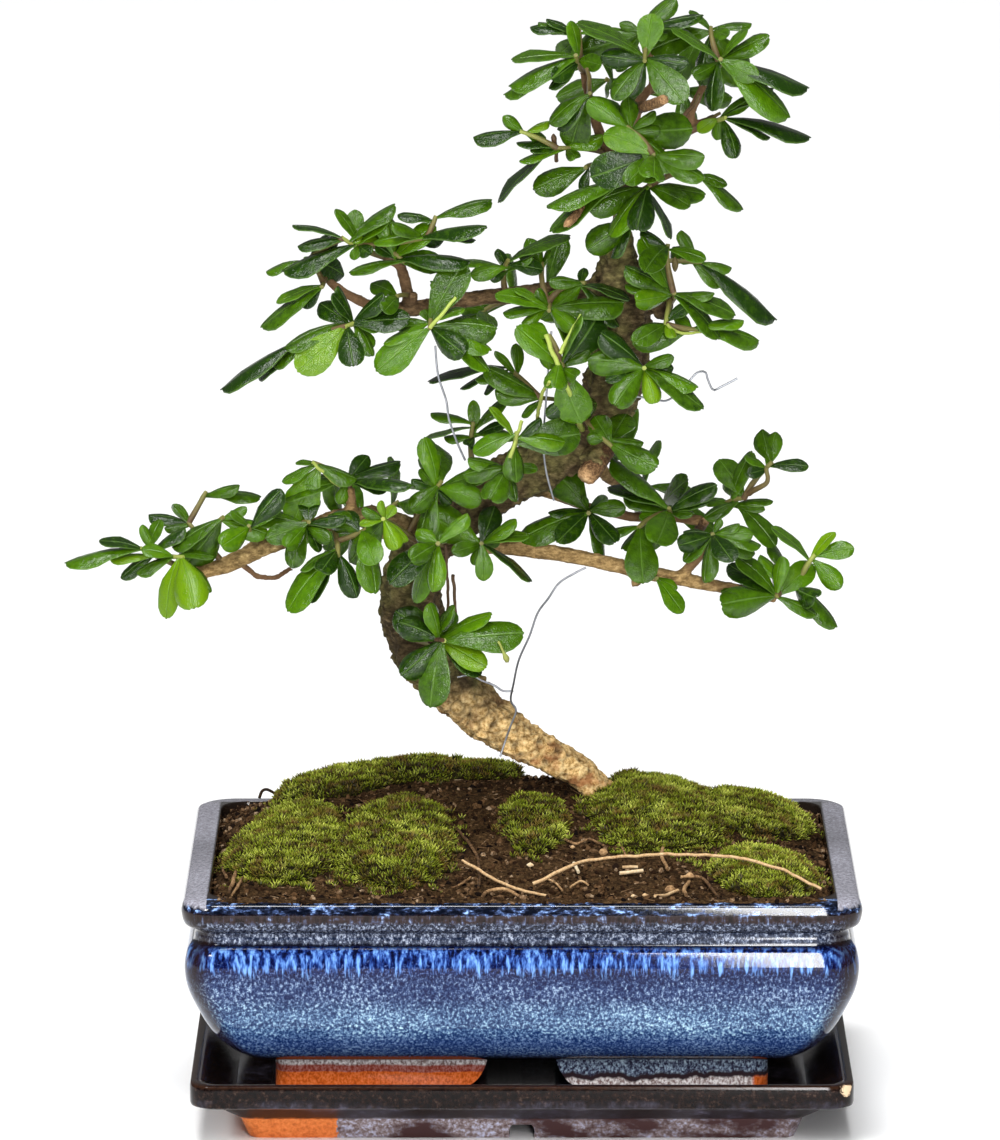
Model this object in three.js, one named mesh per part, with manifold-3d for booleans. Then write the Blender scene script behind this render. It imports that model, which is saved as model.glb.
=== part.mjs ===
// Fukien tea bonsai (Carmona) in a glazed pot on its saucer.
// Millimetres, +Z up, the front looks towards -Y. The model is built round the pot's centre and
// then moved, so that the origin is on the ground below the middle of the whole object.
import * as THREE from "three";
import { mergeVertices } from "three/addons/utils/BufferGeometryUtils.js";
import Module from "manifold-3d";

const wasm = await Module();
wasm.setup();

// Driving dimensions
const GAP = 0.3; // between two pieces that rest on each other
const POT_WIDTH = 250;
const POT_DEPTH = 190;
const POT_CORNER = 13; // plan radius of the lip's corners
const SAUCER_WIDTH = 244.5;
const SAUCER_DEPTH = 185.6;
const SAUCER_CORNER = 9;
const FOOT_RING = 10; // width of the ring the pot's feet are cut from
const POT_ARCH = 41; // gap between two feet at the bottom
const POT_ARCH_TOP = 24;
const SAUCER_NOTCH = 9;
const DRAIN_RADIUS = 6;
const DRAIN_OFFSET = 48;
const SOIL_EDGE = 87; // height of the soil at the pot's wall
const MOUND = 20; // rise of the mound above the soil's edge
const MOUND_RIDGE = 45; // the mound is highest this far behind the pot's centre
const MOUND_REACH = { across: 115, front: 135, back: 50 }; // how far it takes to run out
const MOUND_SLANT = 0.03; // it is higher towards the left by this share
const TWIG_RADIUS = 1.1;
const BUD_RADIUS = 1.5; // swollen end of a shoot, where its leaves sit
const BLADE_THICKNESS = 0.7;
const LEAF_LENGTH = 25; // of a grown leaf, twice its width
const ARCH = 0.3; // how strongly a blade arches along its length
const LEAF_SPACING = 1.3; // between leaves along a shoot
const TOOTHED_FROM = 20; // leaves this long end in three teeth
const STATION_STEP = 14; // between the rings that a limb is built from
const WIRE_RADIUS = 0.4;
const VIEW_TILT = (10.5 * Math.PI) / 180; // leaf readings are as seen from this height above level

// Profiles are rows of [half width, height]. The half depth is less by the same step all the way up.
const POT_OUTSIDE = [
  [91.4, 23],
  [99.5, 24.6],
  [107.5, 29.5],
  [114.5, 37.5],
  [119.6, 47],
  [122.9, 55],
  [124, 62.5],
  [123.2, 68.5],
  [120.6, 73.2],
  [120.2, 77],
  [123.8, 79.2],
  [125, 84],
  [124.4, 87.2],
  [122.7, 89],
];
const POT_INSIDE = [
  [115.6, 89],
  [114.6, 87.6],
  [114.2, 72],
  [113, 58],
  [106, 42],
  [96, 34],
  [84, 30.5],
];
const SAUCER_UNDERSIDE = [
  [104.5, 3.4],
  [113.5, 9.4],
  [121.7, 11.2],
  [122.25, 12.2],
  [122.25, 19.4],
  [121.6, 20],
];
const SAUCER_INSIDE = [
  [118.3, 20],
  [106, 11],
];
const SAUCER_BOTTOM = -4.6; // heights are counted from this far above the ground
const SAUCER_FOOT = [
  [101, SAUCER_BOTTOM],
  [104.5, 4.4],
];
const SAUCER_RECESS = 5.5; // height of the hollow inside the foot
const SAUCER_NOTCH_TOP = 0.9;
const SAUCER_FOOT_WIDTH = 9;
const POT_FOOT_HEIGHT = 11.3; // the feet stand at this height, on the saucer's floor

// Wood: rows of [x, y, z, radius] along the middle of each limb.
const LIMBS = {
  trunk: [
    [41, 28, 93, 6], [32, 27, 103, 6], [20, 25, 115, 6.8], [5, 23, 123, 8.2],
    [-10, 21, 132, 9.8], [-24, 19, 146, 11.7], [-36, 17, 160, 13.2], [-41, 16, 175, 13.5],
    [-41, 15, 190, 12.4], [-34, 14, 205, 11.2], [-17, 13, 219, 10.9], [3, 11, 232, 10.8],
    [22, 7, 244, 11.6], [32, 3, 258, 12.3], [36, 0, 273, 12.6], [37, 0, 288, 12.6],
    [37, 1, 299, 12.3], [36, 2, 311, 9.3], [37, 3, 320, 4.8], [37, 3, 329, 2.8],
    [36, 2, 341, 2.4], [31, 0, 354, 2.2],
  ],
  lowLeft: [
    [-35, 13, 202, 5.6], [-47, 0, 214, 4.5], [-64, -10, 218, 4.1], [-82, -12, 212, 4.1],
    [-101, -14, 205, 3.9], [-117, -15, 197, 3.3], [-128, -15, 200, 1.9],
  ],
  lowLeftRiser: [[-63, -10, 218, 2.6], [-64, -12, 229, 2]],
  lowLeftUnder: [[-106, -13, 202, 1.5], [-95, -2, 192, 1.3], [-86, 3, 196, 1.1]],
  highLeft: [
    [31, 2, 300, 5.9], [14, 4, 301, 4.1], [-1, 5, 299, 3.5], [-15, 4, 298, 3.3],
    [-30, 2, 296, 3.2], [-41, 0, 294, 3],
  ],
  highLeftRiser: [[-41, 0, 294, 3], [-43, 0, 303, 2.4], [-45, -1, 311, 2.4], [-51, -2, 314, 1.9]],
  highLeftEnd: [
    [-41, 0, 294, 3], [-53, 4, 294, 2.2], [-64, 4, 298, 2.2], [-69, 3, 302, 2], [-72, 2, 305, 1.9],
  ],
  lowRight: [
    [-31, 12, 203, 4.9], [-16, 5, 204, 3.4], [-1, -1, 204, 3.2], [22, -8, 202, 3.2],
    [40, -10, 198, 3.2], [59, -10, 194, 3], [74, -9, 191, 2.6], [89, -8, 188, 2.1],
    [95, -8, 186, 1.9],
  ],
  lowRightFork: [[59, -10, 195, 2.2], [66, -12, 203, 2.2], [71, -13, 211, 1.9]],
  highRight: [
    [-1, 14, 227, 3.7], [13, 18, 221, 2.6], [26, 18, 216, 2.1], [41, 16, 213, 2.1],
    [58, 14, 213, 2.1], [68, 12, 212, 2.2],
  ],
  crownLeft: [[32, 0, 352, 2.2], [26, -4, 369, 2.2], [23, -6, 384, 1.8]],
  crownMiddle: [
    [32, 0, 352, 2.2], [36, 2, 364, 2.2], [46, 2, 371, 2.2], [49, 0, 382, 1.8], [47, 0, 393, 1.5],
  ],
  crownRight: [[36, 2, 339, 2.4], [48, 6, 352, 2.2], [61, 8, 360, 2.4], [72, 6, 365, 2]],
  crownRightUp: [[61, 8, 360, 1.9], [65, 5, 373, 1.7], [72, 2, 385, 1.7]],
  backLow: [[-36, 16, 194, 4.4], [-43, 30, 200, 3.2], [-52, 43, 202, 2.4], [-56, 51, 203, 1.9]],
  backRight: [[24, 6, 243, 4.2], [29, 24, 231, 3], [36, 40, 221, 2.2], [42, 50, 219, 1.8]],
  backMiddle: [[35, 3, 294, 4.2], [22, 22, 294, 3], [8, 36, 292, 2.2], [-1, 45, 291, 1.8]],
  backCrown: [[36, 2, 340, 2.3], [39, 14, 352, 2.1], [43, 26, 363, 1.9], [45, 33, 369, 1.7]],
  knobLow: [[31, -2, 247, 4.8], [25, -16, 238, 5.2]],
  knobRight: [[46, -2, 297, 4.5], [55, -6, 296, 5.2]],
  nubUnder: [[42, -10, 197, 1.9], [43, -12, 192, 2.2]],
  nubFork: [[-41, 0, 295, 1.9], [-40, -6, 301, 1.9]],
};

// Moss: rows of [x, y, radius along x, radius along y, thickness] for each patch.
const MOSS = {
  moss_back_left: [[-70, 44, 25, 20, 6], [-42, 54, 27, 20, 7], [-16, 52, 17, 14, 5]],
  moss_left: [[-88, -20, 22, 43, 7], [-47, -28, 23, 40, 7]],
  moss_centre: [[5, -9, 13, 26, 5]],
  moss_right: [[52, 10, 29, 42, 6], [90, 32, 21, 38, 5]],
  moss_front_right: [[90, -50, 21, 29, 6]],
};

// Dry roots that lie on the soil and the moss.
const ROOTS = {
  dry_root_long: [
    [4, -68, 91, 0.7], [10, -66, 93, 0.7], [16, -62, 95, 0.7], [25, -56, 97, 0.6],
    [44, -52, 98, 0.6], [62, -52, 98, 0.6], [77, -55, 98, 0.6], [93, -62, 96, 0.6],
    [102, -68, 93, 0.6], [110, -74, 90, 0.6],
  ],
  dry_root_short: [
    [-22, -52, 96, 0.5], [-16, -58, 94, 0.6], [-12, -63, 92, 0.6], [-3, -72, 90, 0.6],
    [10, -78, 88.5, 0.5],
  ],
};

// Grey binding wires. A node may hold several runs that meet.
const WIRES = {
  guy_wire_right: [
    [
      [24, -13, 199], [20, -13, 197], [14, -12, 193], [10, -11, 187], [6, -9, 181], [3, -7, 172],
      [-1, -3, 162], [-3, 1, 152], [-4, 5, 145], [-2, 6, 141], [-4, 7, 135], [-6, 8, 129],
      [-8, 7, 123],
    ],
    [[-24, 4, 154], [-19, 3, 155], [-15, 3, 153], [-10, 3, 151], [-7, 3, 149], [-3, 3, 149]],
  ],
  guy_wire_left: [
    [
      [-32, -16, 283], [-31, -15, 272], [-28, -13, 262], [-27, -12, 255], [-24, -11, 246],
      [-21, -10, 239],
    ],
  ],
  guy_wire_middle: [
    [
      [11, -13, 288], [10, -16, 278], [9, -19, 263], [8, -17, 248], [9, -14, 236], [12, -11, 224],
    ],
  ],
  loose_wire: [
    [
      [42, -22, 265], [49, -21, 264], [53, -20, 263], [57, -19, 265], [62, -17, 270],
      [65, -16, 273], [68, -15, 273], [69, -14, 270], [71, -13, 266], [74, -12, 267],
      [80, -11, 270],
    ],
  ],
};

// Foliage: each spray grows from its root on a limb. A shoot ends at its point, and grows from the
// spray's first shoot, or from the end of the shoot that "after" counts to. A leaf is read off from
// the front as [across, up, width]: how far its tip is from the shoot's end, and how wide it looks.
const SPRAYS = {
  left_tip: {
    root: [-128, -15, 200],
    shoots: [
      {
        at: [-141, -18, 207],
        leaves: [[-29, -5, 3], [-16, 3, 4], [7, 11, 5], [16, 8, 3], [-8, -11, 5]],
      },
      {
        at: [-126, -24, 205],
        leaves: [[5, -19, 13], [-6, -23, 8], [11, -13, 5]],
      },
    ],
  },
  left_tip_upper: {
    root: [-110, -15, 200],
    shoots: [
      {
        at: [-124, -8, 215],
        leaves: [[-15, 3, 4]],
      },
      {
        at: [-111, -20, 219],
        leaves: [[-19, -11, 6]],
      },
      {
        at: [-118, -2, 225], after: 0,
        leaves: [[21, -1, 4], [13, 3, 4]],
      },
    ],
  },
  left_mid: {
    root: [-97, -14, 207],
    shoots: [
      {
        at: [-101, -22, 216],
        leaves: [[-10, -7, 9]],
      },
    ],
  },
  left_mid_inner: {
    root: [-82, -12, 212],
    shoots: [
      {
        at: [-79, -24, 218],
        leaves: [[-16, -6, 8], [0, 11, 9], [14, 2, 4], [-8, -9, 7], [-20, 3, 7]],
      },
    ],
  },
  left_low_top: {
    root: [-64, -12, 229],
    shoots: [
      {
        at: [-65, -12, 232],
        leaves: [[20, 7, 5], [15, -4, 5], [-24, -7, 4], [25, -2, 2]],
      },
      {
        at: [-77, -16, 239], after: 0,
        leaves: [[16, -6, 5], [-12, -7, 4]],
      },
    ],
  },
  left_low_young: {
    root: [-39, -2, 207],
    shoots: [
      {
        at: [-51, -34, 221],
        leaves: [[5, -11, 7]],
      },
    ],
  },
  left_low_under: {
    root: [-71, -11, 216],
    shoots: [
      {
        at: [-68, -30, 207],
        leaves: [[-19, -21, 10], [7, -16, 8], [-6, -6, 8], [-14, -6, 3]],
      },
      {
        at: [-58, -27, 216],
        leaves: [[4, -24, 9], [4, -13, 10]],
      },
    ],
  },
  fork_left: {
    root: [-42, -3, 210],
    shoots: [
      {
        at: [-30, -18, 232],
        leaves: [[-3, 15, 13], [-11, -10, 8], [15, -7, 9]],
      },
    ],
  },
  fork_front: {
    root: [-32, 4, 206],
    shoots: [
      {
        at: [-31, -34, 212],
        leaves: [[11, 11, 5], [-10, -6, 8], [-2, -18, 7], [-9, -22, 7]],
      },
    ],
  },
  fork_right: {
    root: [-16, 0, 205],
    shoots: [
      {
        at: [-15, -18, 209],
        leaves: [[1, -14, 7], [19, -14, 3], [13, 9, 5]],
      },
    ],
  },
  low_front: {
    root: [-39, 0, 169],
    shoots: [
      {
        at: [-29, -32, 175],
        leaves: [[30, 3, 12], [-5, -25, 12], [-16, -13, 10], [-17, 7, 10], [-5, 14, 6],
          [16, -10, 9], [14, -13, 7], [4, 13, 3]],
      },
    ],
  },
  mid_left: {
    root: [-8, 8, 226],
    shoots: [
      {
        at: [-5, -24, 239],
        leaves: [[-17, -3, 7], [-7, -12, 10], [3, -13, 4]],
      },
      {
        at: [-2, -28, 252], after: 0,
        leaves: [[-16, -7, 7], [18, -3, 7], [-10, 10, 3]],
      },
    ],
  },
  mid_left_back: {
    root: [-16, 9, 221],
    shoots: [
      {
        at: [-18, 6, 250],
        leaves: [[-16, 4, 3], [-19, -6, 2], [12, 10, 4], [16, -5, 4]],
      },
    ],
  },
  mid_upper_left: {
    root: [28, 3, 253],
    shoots: [
      {
        at: [7, -14, 263],
        leaves: [[-17, 3, 7]],
      },
      {
        at: [-5, -4, 273], after: 0,
        leaves: [[-30, -5, 3], [-18, -8, 2], [-9, -10, 3], [-12, -5, 4]],
      },
    ],
  },
  mid_top: {
    root: [9, 4, 300],
    shoots: [
      {
        at: [10, -20, 297],
        leaves: [[-20, 6, 6], [28, 3, 9], [-17, -1, 4], [9, -7, 7]],
      },
      {
        at: [8, 0, 311],
        leaves: [[-9, 4, 3]],
      },
      {
        at: [23, -14, 306],
        leaves: [[-13, 1, 5]],
      },
    ],
  },
  mid_right_front: {
    root: [26, 4, 247],
    shoots: [
      {
        at: [19, -30, 265],
        leaves: [[9, -1, 10]],
      },
      {
        at: [14, -32, 280], after: 0,
        leaves: [[-2, -10, 9], [8, 17, 1]],
      },
      {
        at: [10, -32, 289], after: 1,
        leaves: [[-11, 4, 9]],
      },
      {
        at: [33, -30, 248],
        leaves: [[-6, 11, 9], [6, 12, 10], [17, -8, 10]],
      },
    ],
  },
  high_mid: {
    root: [-34, 1, 295],
    shoots: [
      {
        at: [-34, -24, 291],
        leaves: [[-20, -16, 12], [25, 0, 10], [13, -10, 10], [13, 24, 13], [22, -16, 6]],
      },
    ],
  },
  high_left_end: {
    root: [-73, 2, 306],
    shoots: [
      {
        at: [-74, -8, 304],
        leaves: [[-23, -15, 6]],
      },
      {
        at: [-77, 0, 311],
        leaves: [[8, 5, 2]],
      },
    ],
  },
  high_riser: {
    root: [-51, -2, 314],
    shoots: [
      {
        at: [-66, -8, 322],
        leaves: [[-19, 5, 2], [-17, -3, 4], [19, 13, 4], [15, 2, 8], [-23, -12, 5]],
      },
      {
        at: [-80, -4, 313], after: 0,
        leaves: [[-15, -4, 3]],
      },
      {
        at: [-44, -12, 314],
        leaves: [[-20, -4, 4], [-1, 10, 7], [25, 0, 4]],
      },
      {
        at: [-35, -12, 323],
        leaves: [[-20, -2, 4], [-13, 5, 4], [18, -1, 3], [22, 4, 3]],
      },
      {
        at: [-32, -10, 330], after: 3,
        leaves: [[21, 7, 5], [-14, 1, 4]],
      },
    ],
  },
  high_left_low: {
    root: [-54, 4, 294],
    shoots: [
      {
        at: [-65, -20, 291],
        leaves: [[-18, -17, 13], [3, -15, 10], [-10, 9, 9], [24, 3, 9], [-5, 12, 4]],
      },
      {
        at: [-81, -10, 284], after: 0,
        leaves: [[-31, -18, 3], [-17, -14, 4]],
      },
    ],
  },
  high_mid_left: {
    root: [-42, 0, 299],
    shoots: [
      {
        at: [-46, -12, 301],
        leaves: [[-10, 5, 7], [-5, -6, 7]],
      },
    ],
  },
  high_mid_top: {
    root: [-6, 4, 299],
    shoots: [
      {
        at: [-5, -6, 313],
        leaves: [[23, 10, 5], [13, -3, 6], [-14, -5, 6], [-19, 1, 3]],
      },
    ],
  },
  right_high_mid: {
    root: [55, 14, 213],
    shoots: [
      {
        at: [55, 0, 219],
        leaves: [[-21, 19, 5], [-23, 8, 5], [-5, -13, 13], [18, 9, 7], [-17, 4, 3]],
      },
      {
        at: [44, -6, 213],
        leaves: [[1, -21, 13], [-15, -4, 4]],
      },
    ],
  },
  right_high_base: {
    root: [25, 18, 216],
    shoots: [
      {
        at: [25, 2, 217],
        leaves: [[-26, -10, 10], [-12, -11, 9], [10, -11, 8], [14, 2, 7], [6, -17, 3]],
      },
    ],
  },
  right_low_hang: {
    root: [48, -10, 196],
    shoots: [
      {
        at: [50, -18, 196],
        leaves: [[10, -13, 7]],
      },
    ],
  },
  right_fork_tip: {
    root: [71, -13, 211],
    shoots: [
      {
        at: [71, -16, 212],
        leaves: [[-13, -4, 8], [7, -10, 9], [18, -4, 4], [16, -7, 6]],
      },
    ],
  },
  right_tip_up: {
    root: [68, 12, 212],
    shoots: [
      {
        at: [83, 4, 222],
        leaves: [[-9, 15, 10], [-6, 9, 8], [-15, -7, 5], [12, -18, 8], [-14, 0, 4]],
      },
      {
        at: [93, 0, 236], after: 0,
        leaves: [[-3, 13, 8], [14, -1, 5]],
      },
    ],
  },
  right_tip: {
    root: [93, -8, 187],
    shoots: [
      {
        at: [95, -12, 188],
        leaves: [[2, 15, 6], [-15, 15, 7], [-18, 12, 8], [-21, -3, 12], [15, -7, 5]],
      },
      {
        at: [103, -4, 190], after: 0,
        leaves: [[15, -15, 5], [6, -4, 9], [-9, 17, 4]],
      },
      {
        at: [109, -6, 202], after: 1,
        leaves: [[15, 3, 7], [10, -12, 8], [-16, 11, 4]],
      },
    ],
  },
  trunk_right_mid: {
    root: [42, -4, 275],
    shoots: [
      {
        at: [45, -36, 278],
        leaves: [[-21, 3, 10], [-11, -14, 10], [22, -15, 7], [4, -13, 7]],
      },
    ],
  },
  trunk_right_high: {
    root: [53, -5, 297],
    shoots: [
      {
        at: [56, -24, 304],
        leaves: [[23, -8, 7], [17, -17, 6], [-18, 10, 7], [-14, -3, 8]],
      },
      {
        at: [54, -20, 321], after: 0,
        leaves: [[-9, -10, 10]],
      },
      {
        at: [53, -28, 293],
        leaves: [[-12, -7, 8]],
      },
      {
        at: [64, -26, 291], after: 2,
        leaves: [[24, -4, 7]],
      },
    ],
  },
  trunk_right_top: {
    root: [40, 2, 309],
    shoots: [
      {
        at: [66, -2, 312],
        leaves: [[29, -21, 4], [-7, 12, 5]],
      },
    ],
  },
  crown_front: {
    root: [44, 5, 350],
    shoots: [
      {
        at: [48, -34, 357],
        leaves: [[-18, 8, 10], [0, -9, 10], [19, -1, 8], [19, -9, 7], [-10, -11, 8]],
      },
      {
        at: [39, -28, 366], after: 0,
        leaves: [[-15, 10, 9]],
      },
    ],
  },
  crown_low: {
    root: [36, 2, 336],
    shoots: [
      {
        at: [47, -22, 344],
        leaves: [[-15, -19, 7], [-5, -17, 10], [15, -8, 7], [21, -3, 7], [8, -20, 3]],
      },
      {
        at: [39, -22, 347],
        leaves: [[-29, -20, 7], [-30, -11, 4]],
      },
      {
        at: [65, -8, 346], after: 0,
        leaves: [[17, -13, 5]],
      },
      {
        at: [41, -16, 329],
        leaves: [[-17, -10, 11]],
      },
    ],
  },
  crown_left_low: {
    root: [31, 0, 353],
    shoots: [
      {
        at: [13, -10, 356],
        leaves: [[-22, -20, 4], [-15, 2, 2], [17, 5, 5]],
      },
      {
        at: [0, -10, 362], after: 0,
        leaves: [[-18, -2, 5]],
      },
    ],
  },
  crown_left_mid: {
    root: [33, 1, 346],
    shoots: [
      {
        at: [24, -12, 349],
        leaves: [[-20, -8, 10]],
      },
    ],
  },
  crown_left_high: {
    root: [25, -4, 371],
    shoots: [
      {
        at: [25, -16, 377],
        leaves: [[-15, -11, 7], [-12, -13, 4], [12, -7, 5]],
      },
    ],
  },
  crown_left_top: {
    root: [23, -6, 384],
    shoots: [
      {
        at: [20, -16, 391],
        leaves: [[-24, -1, 5], [-25, -11, 5], [-29, -8, 3], [-2, 13, 5], [9, -4, 7],
          [-9, -9, 7], [-10, -12, 4]],
      },
      {
        at: [21, -4, 399],
        leaves: [[-18, 1, 4], [15, -1, 4]],
      },
    ],
  },
  crown_mid_top: {
    root: [47, 0, 393],
    shoots: [
      {
        at: [45, -30, 391],
        leaves: [[-16, 2, 8], [-12, -14, 8], [-6, -13, 7], [14, -16, 12], [16, -1, 7],
          [-25, 14, 6]],
      },
      {
        at: [44, -6, 400],
        leaves: [[13, 11, 7], [23, 5, 4]],
      },
    ],
  },
  crown_right_top: {
    root: [72, 2, 385],
    shoots: [
      {
        at: [73, -18, 390],
        leaves: [[14, -7, 8], [26, -21, 10], [33, -10, 5], [-18, 12, 4], [-3, -19, 7],
          [18, 9, 7]],
      },
      {
        at: [70, 0, 399],
        leaves: [[15, 2, 3]],
      },
    ],
  },
  crown_right_end: {
    root: [69, 6, 364],
    shoots: [
      {
        at: [75, -8, 367],
        leaves: [[32, -7, 4], [17, -7, 2], [4, -15, 7], [18, 11, 3]],
      },
    ],
  },
};

// Foliage on the far side, which no reading shows: each shoot has this many leaves all round it.
const BACK_SPRAYS = {
  back_low: { root: [-55, 50, 203], shoots: [[-62, 60, 202], [-70, 47, 206], [-47, 57, 211]] },
  back_right: { root: [41, 49, 219], shoots: [[48, 58, 217], [38, 52, 229], [55, 42, 212]] },
  back_middle: { root: [0, 44, 291], shoots: [[-4, 54, 289], [-15, 42, 286], [12, 48, 296]] },
  back_crown: { root: [45, 32, 368], shoots: [[46, 42, 370], [32, 32, 376], [60, 30, 372]] },
};
const BACK_LEAVES = 3;

// A repeatable row of numbers from 0 to 1.
function draws(seed) {
  let state = seed;
  return () => {
    state = (state * 16807) % 2147483647;
    return state / 2147483647;
  };
}

function vector(row) {
  return new THREE.Vector3(row[0], row[1], row[2]);
}

function solid(points, triangles) {
  const vertProperties = new Float32Array(points.flatMap((point) => [point.x, point.y, point.z]));
  const triVerts = new Uint32Array(triangles.flat());
  return new wasm.Manifold(new wasm.Mesh({ numProp: 3, vertProperties, triVerts }));
}

function solidOfGeometry(geometry) {
  geometry.deleteAttribute("normal");
  geometry.deleteAttribute("uv");
  const merged = mergeVertices(geometry, 1e-4);
  const vertProperties = new Float32Array(merged.getAttribute("position").array);
  const triVerts = new Uint32Array(merged.index.array);
  return new wasm.Manifold(new wasm.Mesh({ numProp: 3, vertProperties, triVerts }));
}

// Skins a stack of rings, all with the same number of points, and closes both ends.
function loft(rings) {
  const count = rings[0].length;
  const middle = (ring) =>
    ring.reduce((sum, point) => sum.add(point), new THREE.Vector3()).divideScalar(count);
  const points = [...rings.flat(), middle(rings[0]), middle(rings[rings.length - 1])];
  const first = points.length - 2;
  const last = points.length - 1;
  const triangles = [];
  for (let k = 0; k < count; k++) {
    const next = (k + 1) % count;
    for (let i = 0; i + 1 < rings.length; i++) {
      const low = i * count;
      const high = low + count;
      triangles.push([low + k, low + next, high + next], [low + k, high + next, high + k]);
    }
    const top = (rings.length - 1) * count;
    triangles.push([first, next, k], [last, top + k, top + next]);
  }
  return solid(points, triangles);
}

// Plan outline with rounded corners, anticlockwise from above, with extra points along its sides.
function roundedRectangle(halfX, halfY, radius, z, arcSteps, sideSteps = 1) {
  const points = [];
  const turns = [
    [halfX, -halfY],
    [halfX, halfY],
    [-halfX, halfY],
    [-halfX, -halfY],
  ];
  turns.forEach(([x, y], side) => {
    const centreX = x - Math.sign(x) * radius;
    const centreY = y - Math.sign(y) * radius;
    for (let i = 0; i <= arcSteps; i++) {
      const angle = ((side - 1 + i / arcSteps) * Math.PI) / 2;
      points.push(
        new THREE.Vector3(centreX + radius * Math.cos(angle), centreY + radius * Math.sin(angle), z),
      );
    }
    const [nextX, nextY] = turns[(side + 1) % 4];
    const start = points[points.length - 1];
    const end = new THREE.Vector3(
      nextX - (side % 2 ? Math.sign(nextX) * radius : 0),
      nextY - (side % 2 ? 0 : Math.sign(nextY) * radius),
      z,
    );
    for (let i = 1; i < sideSteps; i++) {
      points.push(start.clone().lerp(end, i / sideSteps));
    }
  });
  return points;
}

// A ring of the pot or the saucer. Its corners are rounder the wider it is.
function plateRing([halfX, z], { inset, corner, full }, sideSteps = 1) {
  const radius = Math.max(5, corner - 0.22 * (full - halfX));
  return roundedRectangle(halfX, halfX - inset, radius, z, 3, sideSteps);
}

function block(halfX, halfY, radius, low, high) {
  return loft([
    roundedRectangle(halfX, halfY, radius, low, 3),
    roundedRectangle(halfX, halfY, radius, high, 3),
  ]);
}

// The gap between two feet: it narrows upwards, with round shoulders, and runs right through.
function archCutter(bottom, top, low, high, reach) {
  const shape = new THREE.Shape();
  shape.moveTo(-bottom / 2, low - 1);
  shape.lineTo(bottom / 2, low - 1);
  shape.lineTo(bottom / 2, low + 1);
  shape.quadraticCurveTo(top / 2 + 2, low + 3, top / 2, high);
  shape.lineTo(-top / 2, high);
  shape.quadraticCurveTo(-top / 2 - 2, low + 3, -bottom / 2, low + 1);
  const geometry = new THREE.ExtrudeGeometry(shape, {
    depth: 2 * reach,
    bevelEnabled: false,
    curveSegments: 4,
  });
  geometry.translate(0, 0, -reach);
  geometry.rotateX(Math.PI / 2);
  return geometry;
}

const POT_SIZE = {
  inset: (POT_WIDTH - POT_DEPTH) / 2,
  corner: POT_CORNER,
  full: POT_WIDTH / 2,
};

function makePot() {
  const profile = [...POT_OUTSIDE, ...POT_INSIDE];
  let pot = loft(profile.map((row) => plateRing(row, POT_SIZE)));
  const [footHalf, bodyBottom] = POT_OUTSIDE[0];
  const depthHalf = footHalf - POT_SIZE.inset;
  const outer = block(footHalf, depthHalf, 7, POT_FOOT_HEIGHT, bodyBottom + 2);
  const inner = block(
    footHalf - FOOT_RING,
    depthHalf - FOOT_RING,
    5,
    POT_FOOT_HEIGHT - 1,
    bodyBottom + 3,
  );
  const arch = archCutter(POT_ARCH, POT_ARCH_TOP, POT_FOOT_HEIGHT, bodyBottom + 3, POT_WIDTH);
  const sideArch = arch.clone().rotateZ(Math.PI / 2);
  const feet = outer
    .subtract(inner)
    .subtract(solidOfGeometry(arch))
    .subtract(solidOfGeometry(sideArch));
  pot = pot.add(feet);
  for (const x of [-DRAIN_OFFSET, DRAIN_OFFSET]) {
    const drain = new THREE.CylinderGeometry(DRAIN_RADIUS, DRAIN_RADIUS, 30, 12);
    drain.rotateX(Math.PI / 2).translate(x, 0, bodyBottom + 5);
    pot = pot.subtract(solidOfGeometry(drain));
  }
  return pot;
}

function makeSaucer() {
  const inset = (SAUCER_WIDTH - SAUCER_DEPTH) / 2;
  const size = { inset, corner: SAUCER_CORNER, full: SAUCER_WIDTH / 2 };
  const profile = [...SAUCER_UNDERSIDE, ...SAUCER_INSIDE];
  const plate = loft(profile.map((row) => plateRing(row, size)));
  const foot = loft(SAUCER_FOOT.map((row) => plateRing(row, size)));
  const [footHalf] = SAUCER_FOOT[0];
  const recessX = footHalf - SAUCER_FOOT_WIDTH;
  const recess = block(recessX, recessX - inset, 5, SAUCER_BOTTOM - 1, SAUCER_RECESS);
  const notch = solidOfGeometry(
    archCutter(
      SAUCER_NOTCH,
      SAUCER_NOTCH - 2,
      SAUCER_BOTTOM,
      SAUCER_NOTCH_TOP,
      SAUCER_WIDTH,
    ),
  );
  return plate.add(foot).subtract(recess).subtract(notch);
}

// Height of the soil before moss: a mound with its ridge behind the middle.
function soilHeight(x, y) {
  const sideways = 1 - Math.min(1, Math.abs(x / MOUND_REACH.across)) ** 3;
  const reach = y < MOUND_RIDGE ? MOUND_REACH.front : MOUND_REACH.back;
  const run = Math.abs(y - MOUND_RIDGE) / reach;
  const along = Math.cos((Math.PI / 2) * Math.min(1, run)) ** 2;
  return SOIL_EDGE + (MOUND - MOUND_SLANT * x) * sideways * along;
}

function makeSoil(lift) {
  const clearance = GAP + 0.1;
  const outline = (half, z) => plateRing([half, z], POT_SIZE, 2);
  const wall = POT_INSIDE.slice(2)
    .reverse()
    .map(([half, z], i) => outline(half - clearance, z + (i ? 0 : clearance)));
  const [rimHalf] = POT_INSIDE[2];
  const surface = [1, 0.88, 0.62, 0.3].map((scale) =>
    outline(rimHalf - clearance, 0).map((point) => {
      const x = point.x * scale;
      const y = point.y * scale;
      return new THREE.Vector3(x, y, soilHeight(x, y) + lift - (scale === 1 ? 1.5 : 0));
    }),
  );
  return loft([...wall, ...surface]);
}

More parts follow.
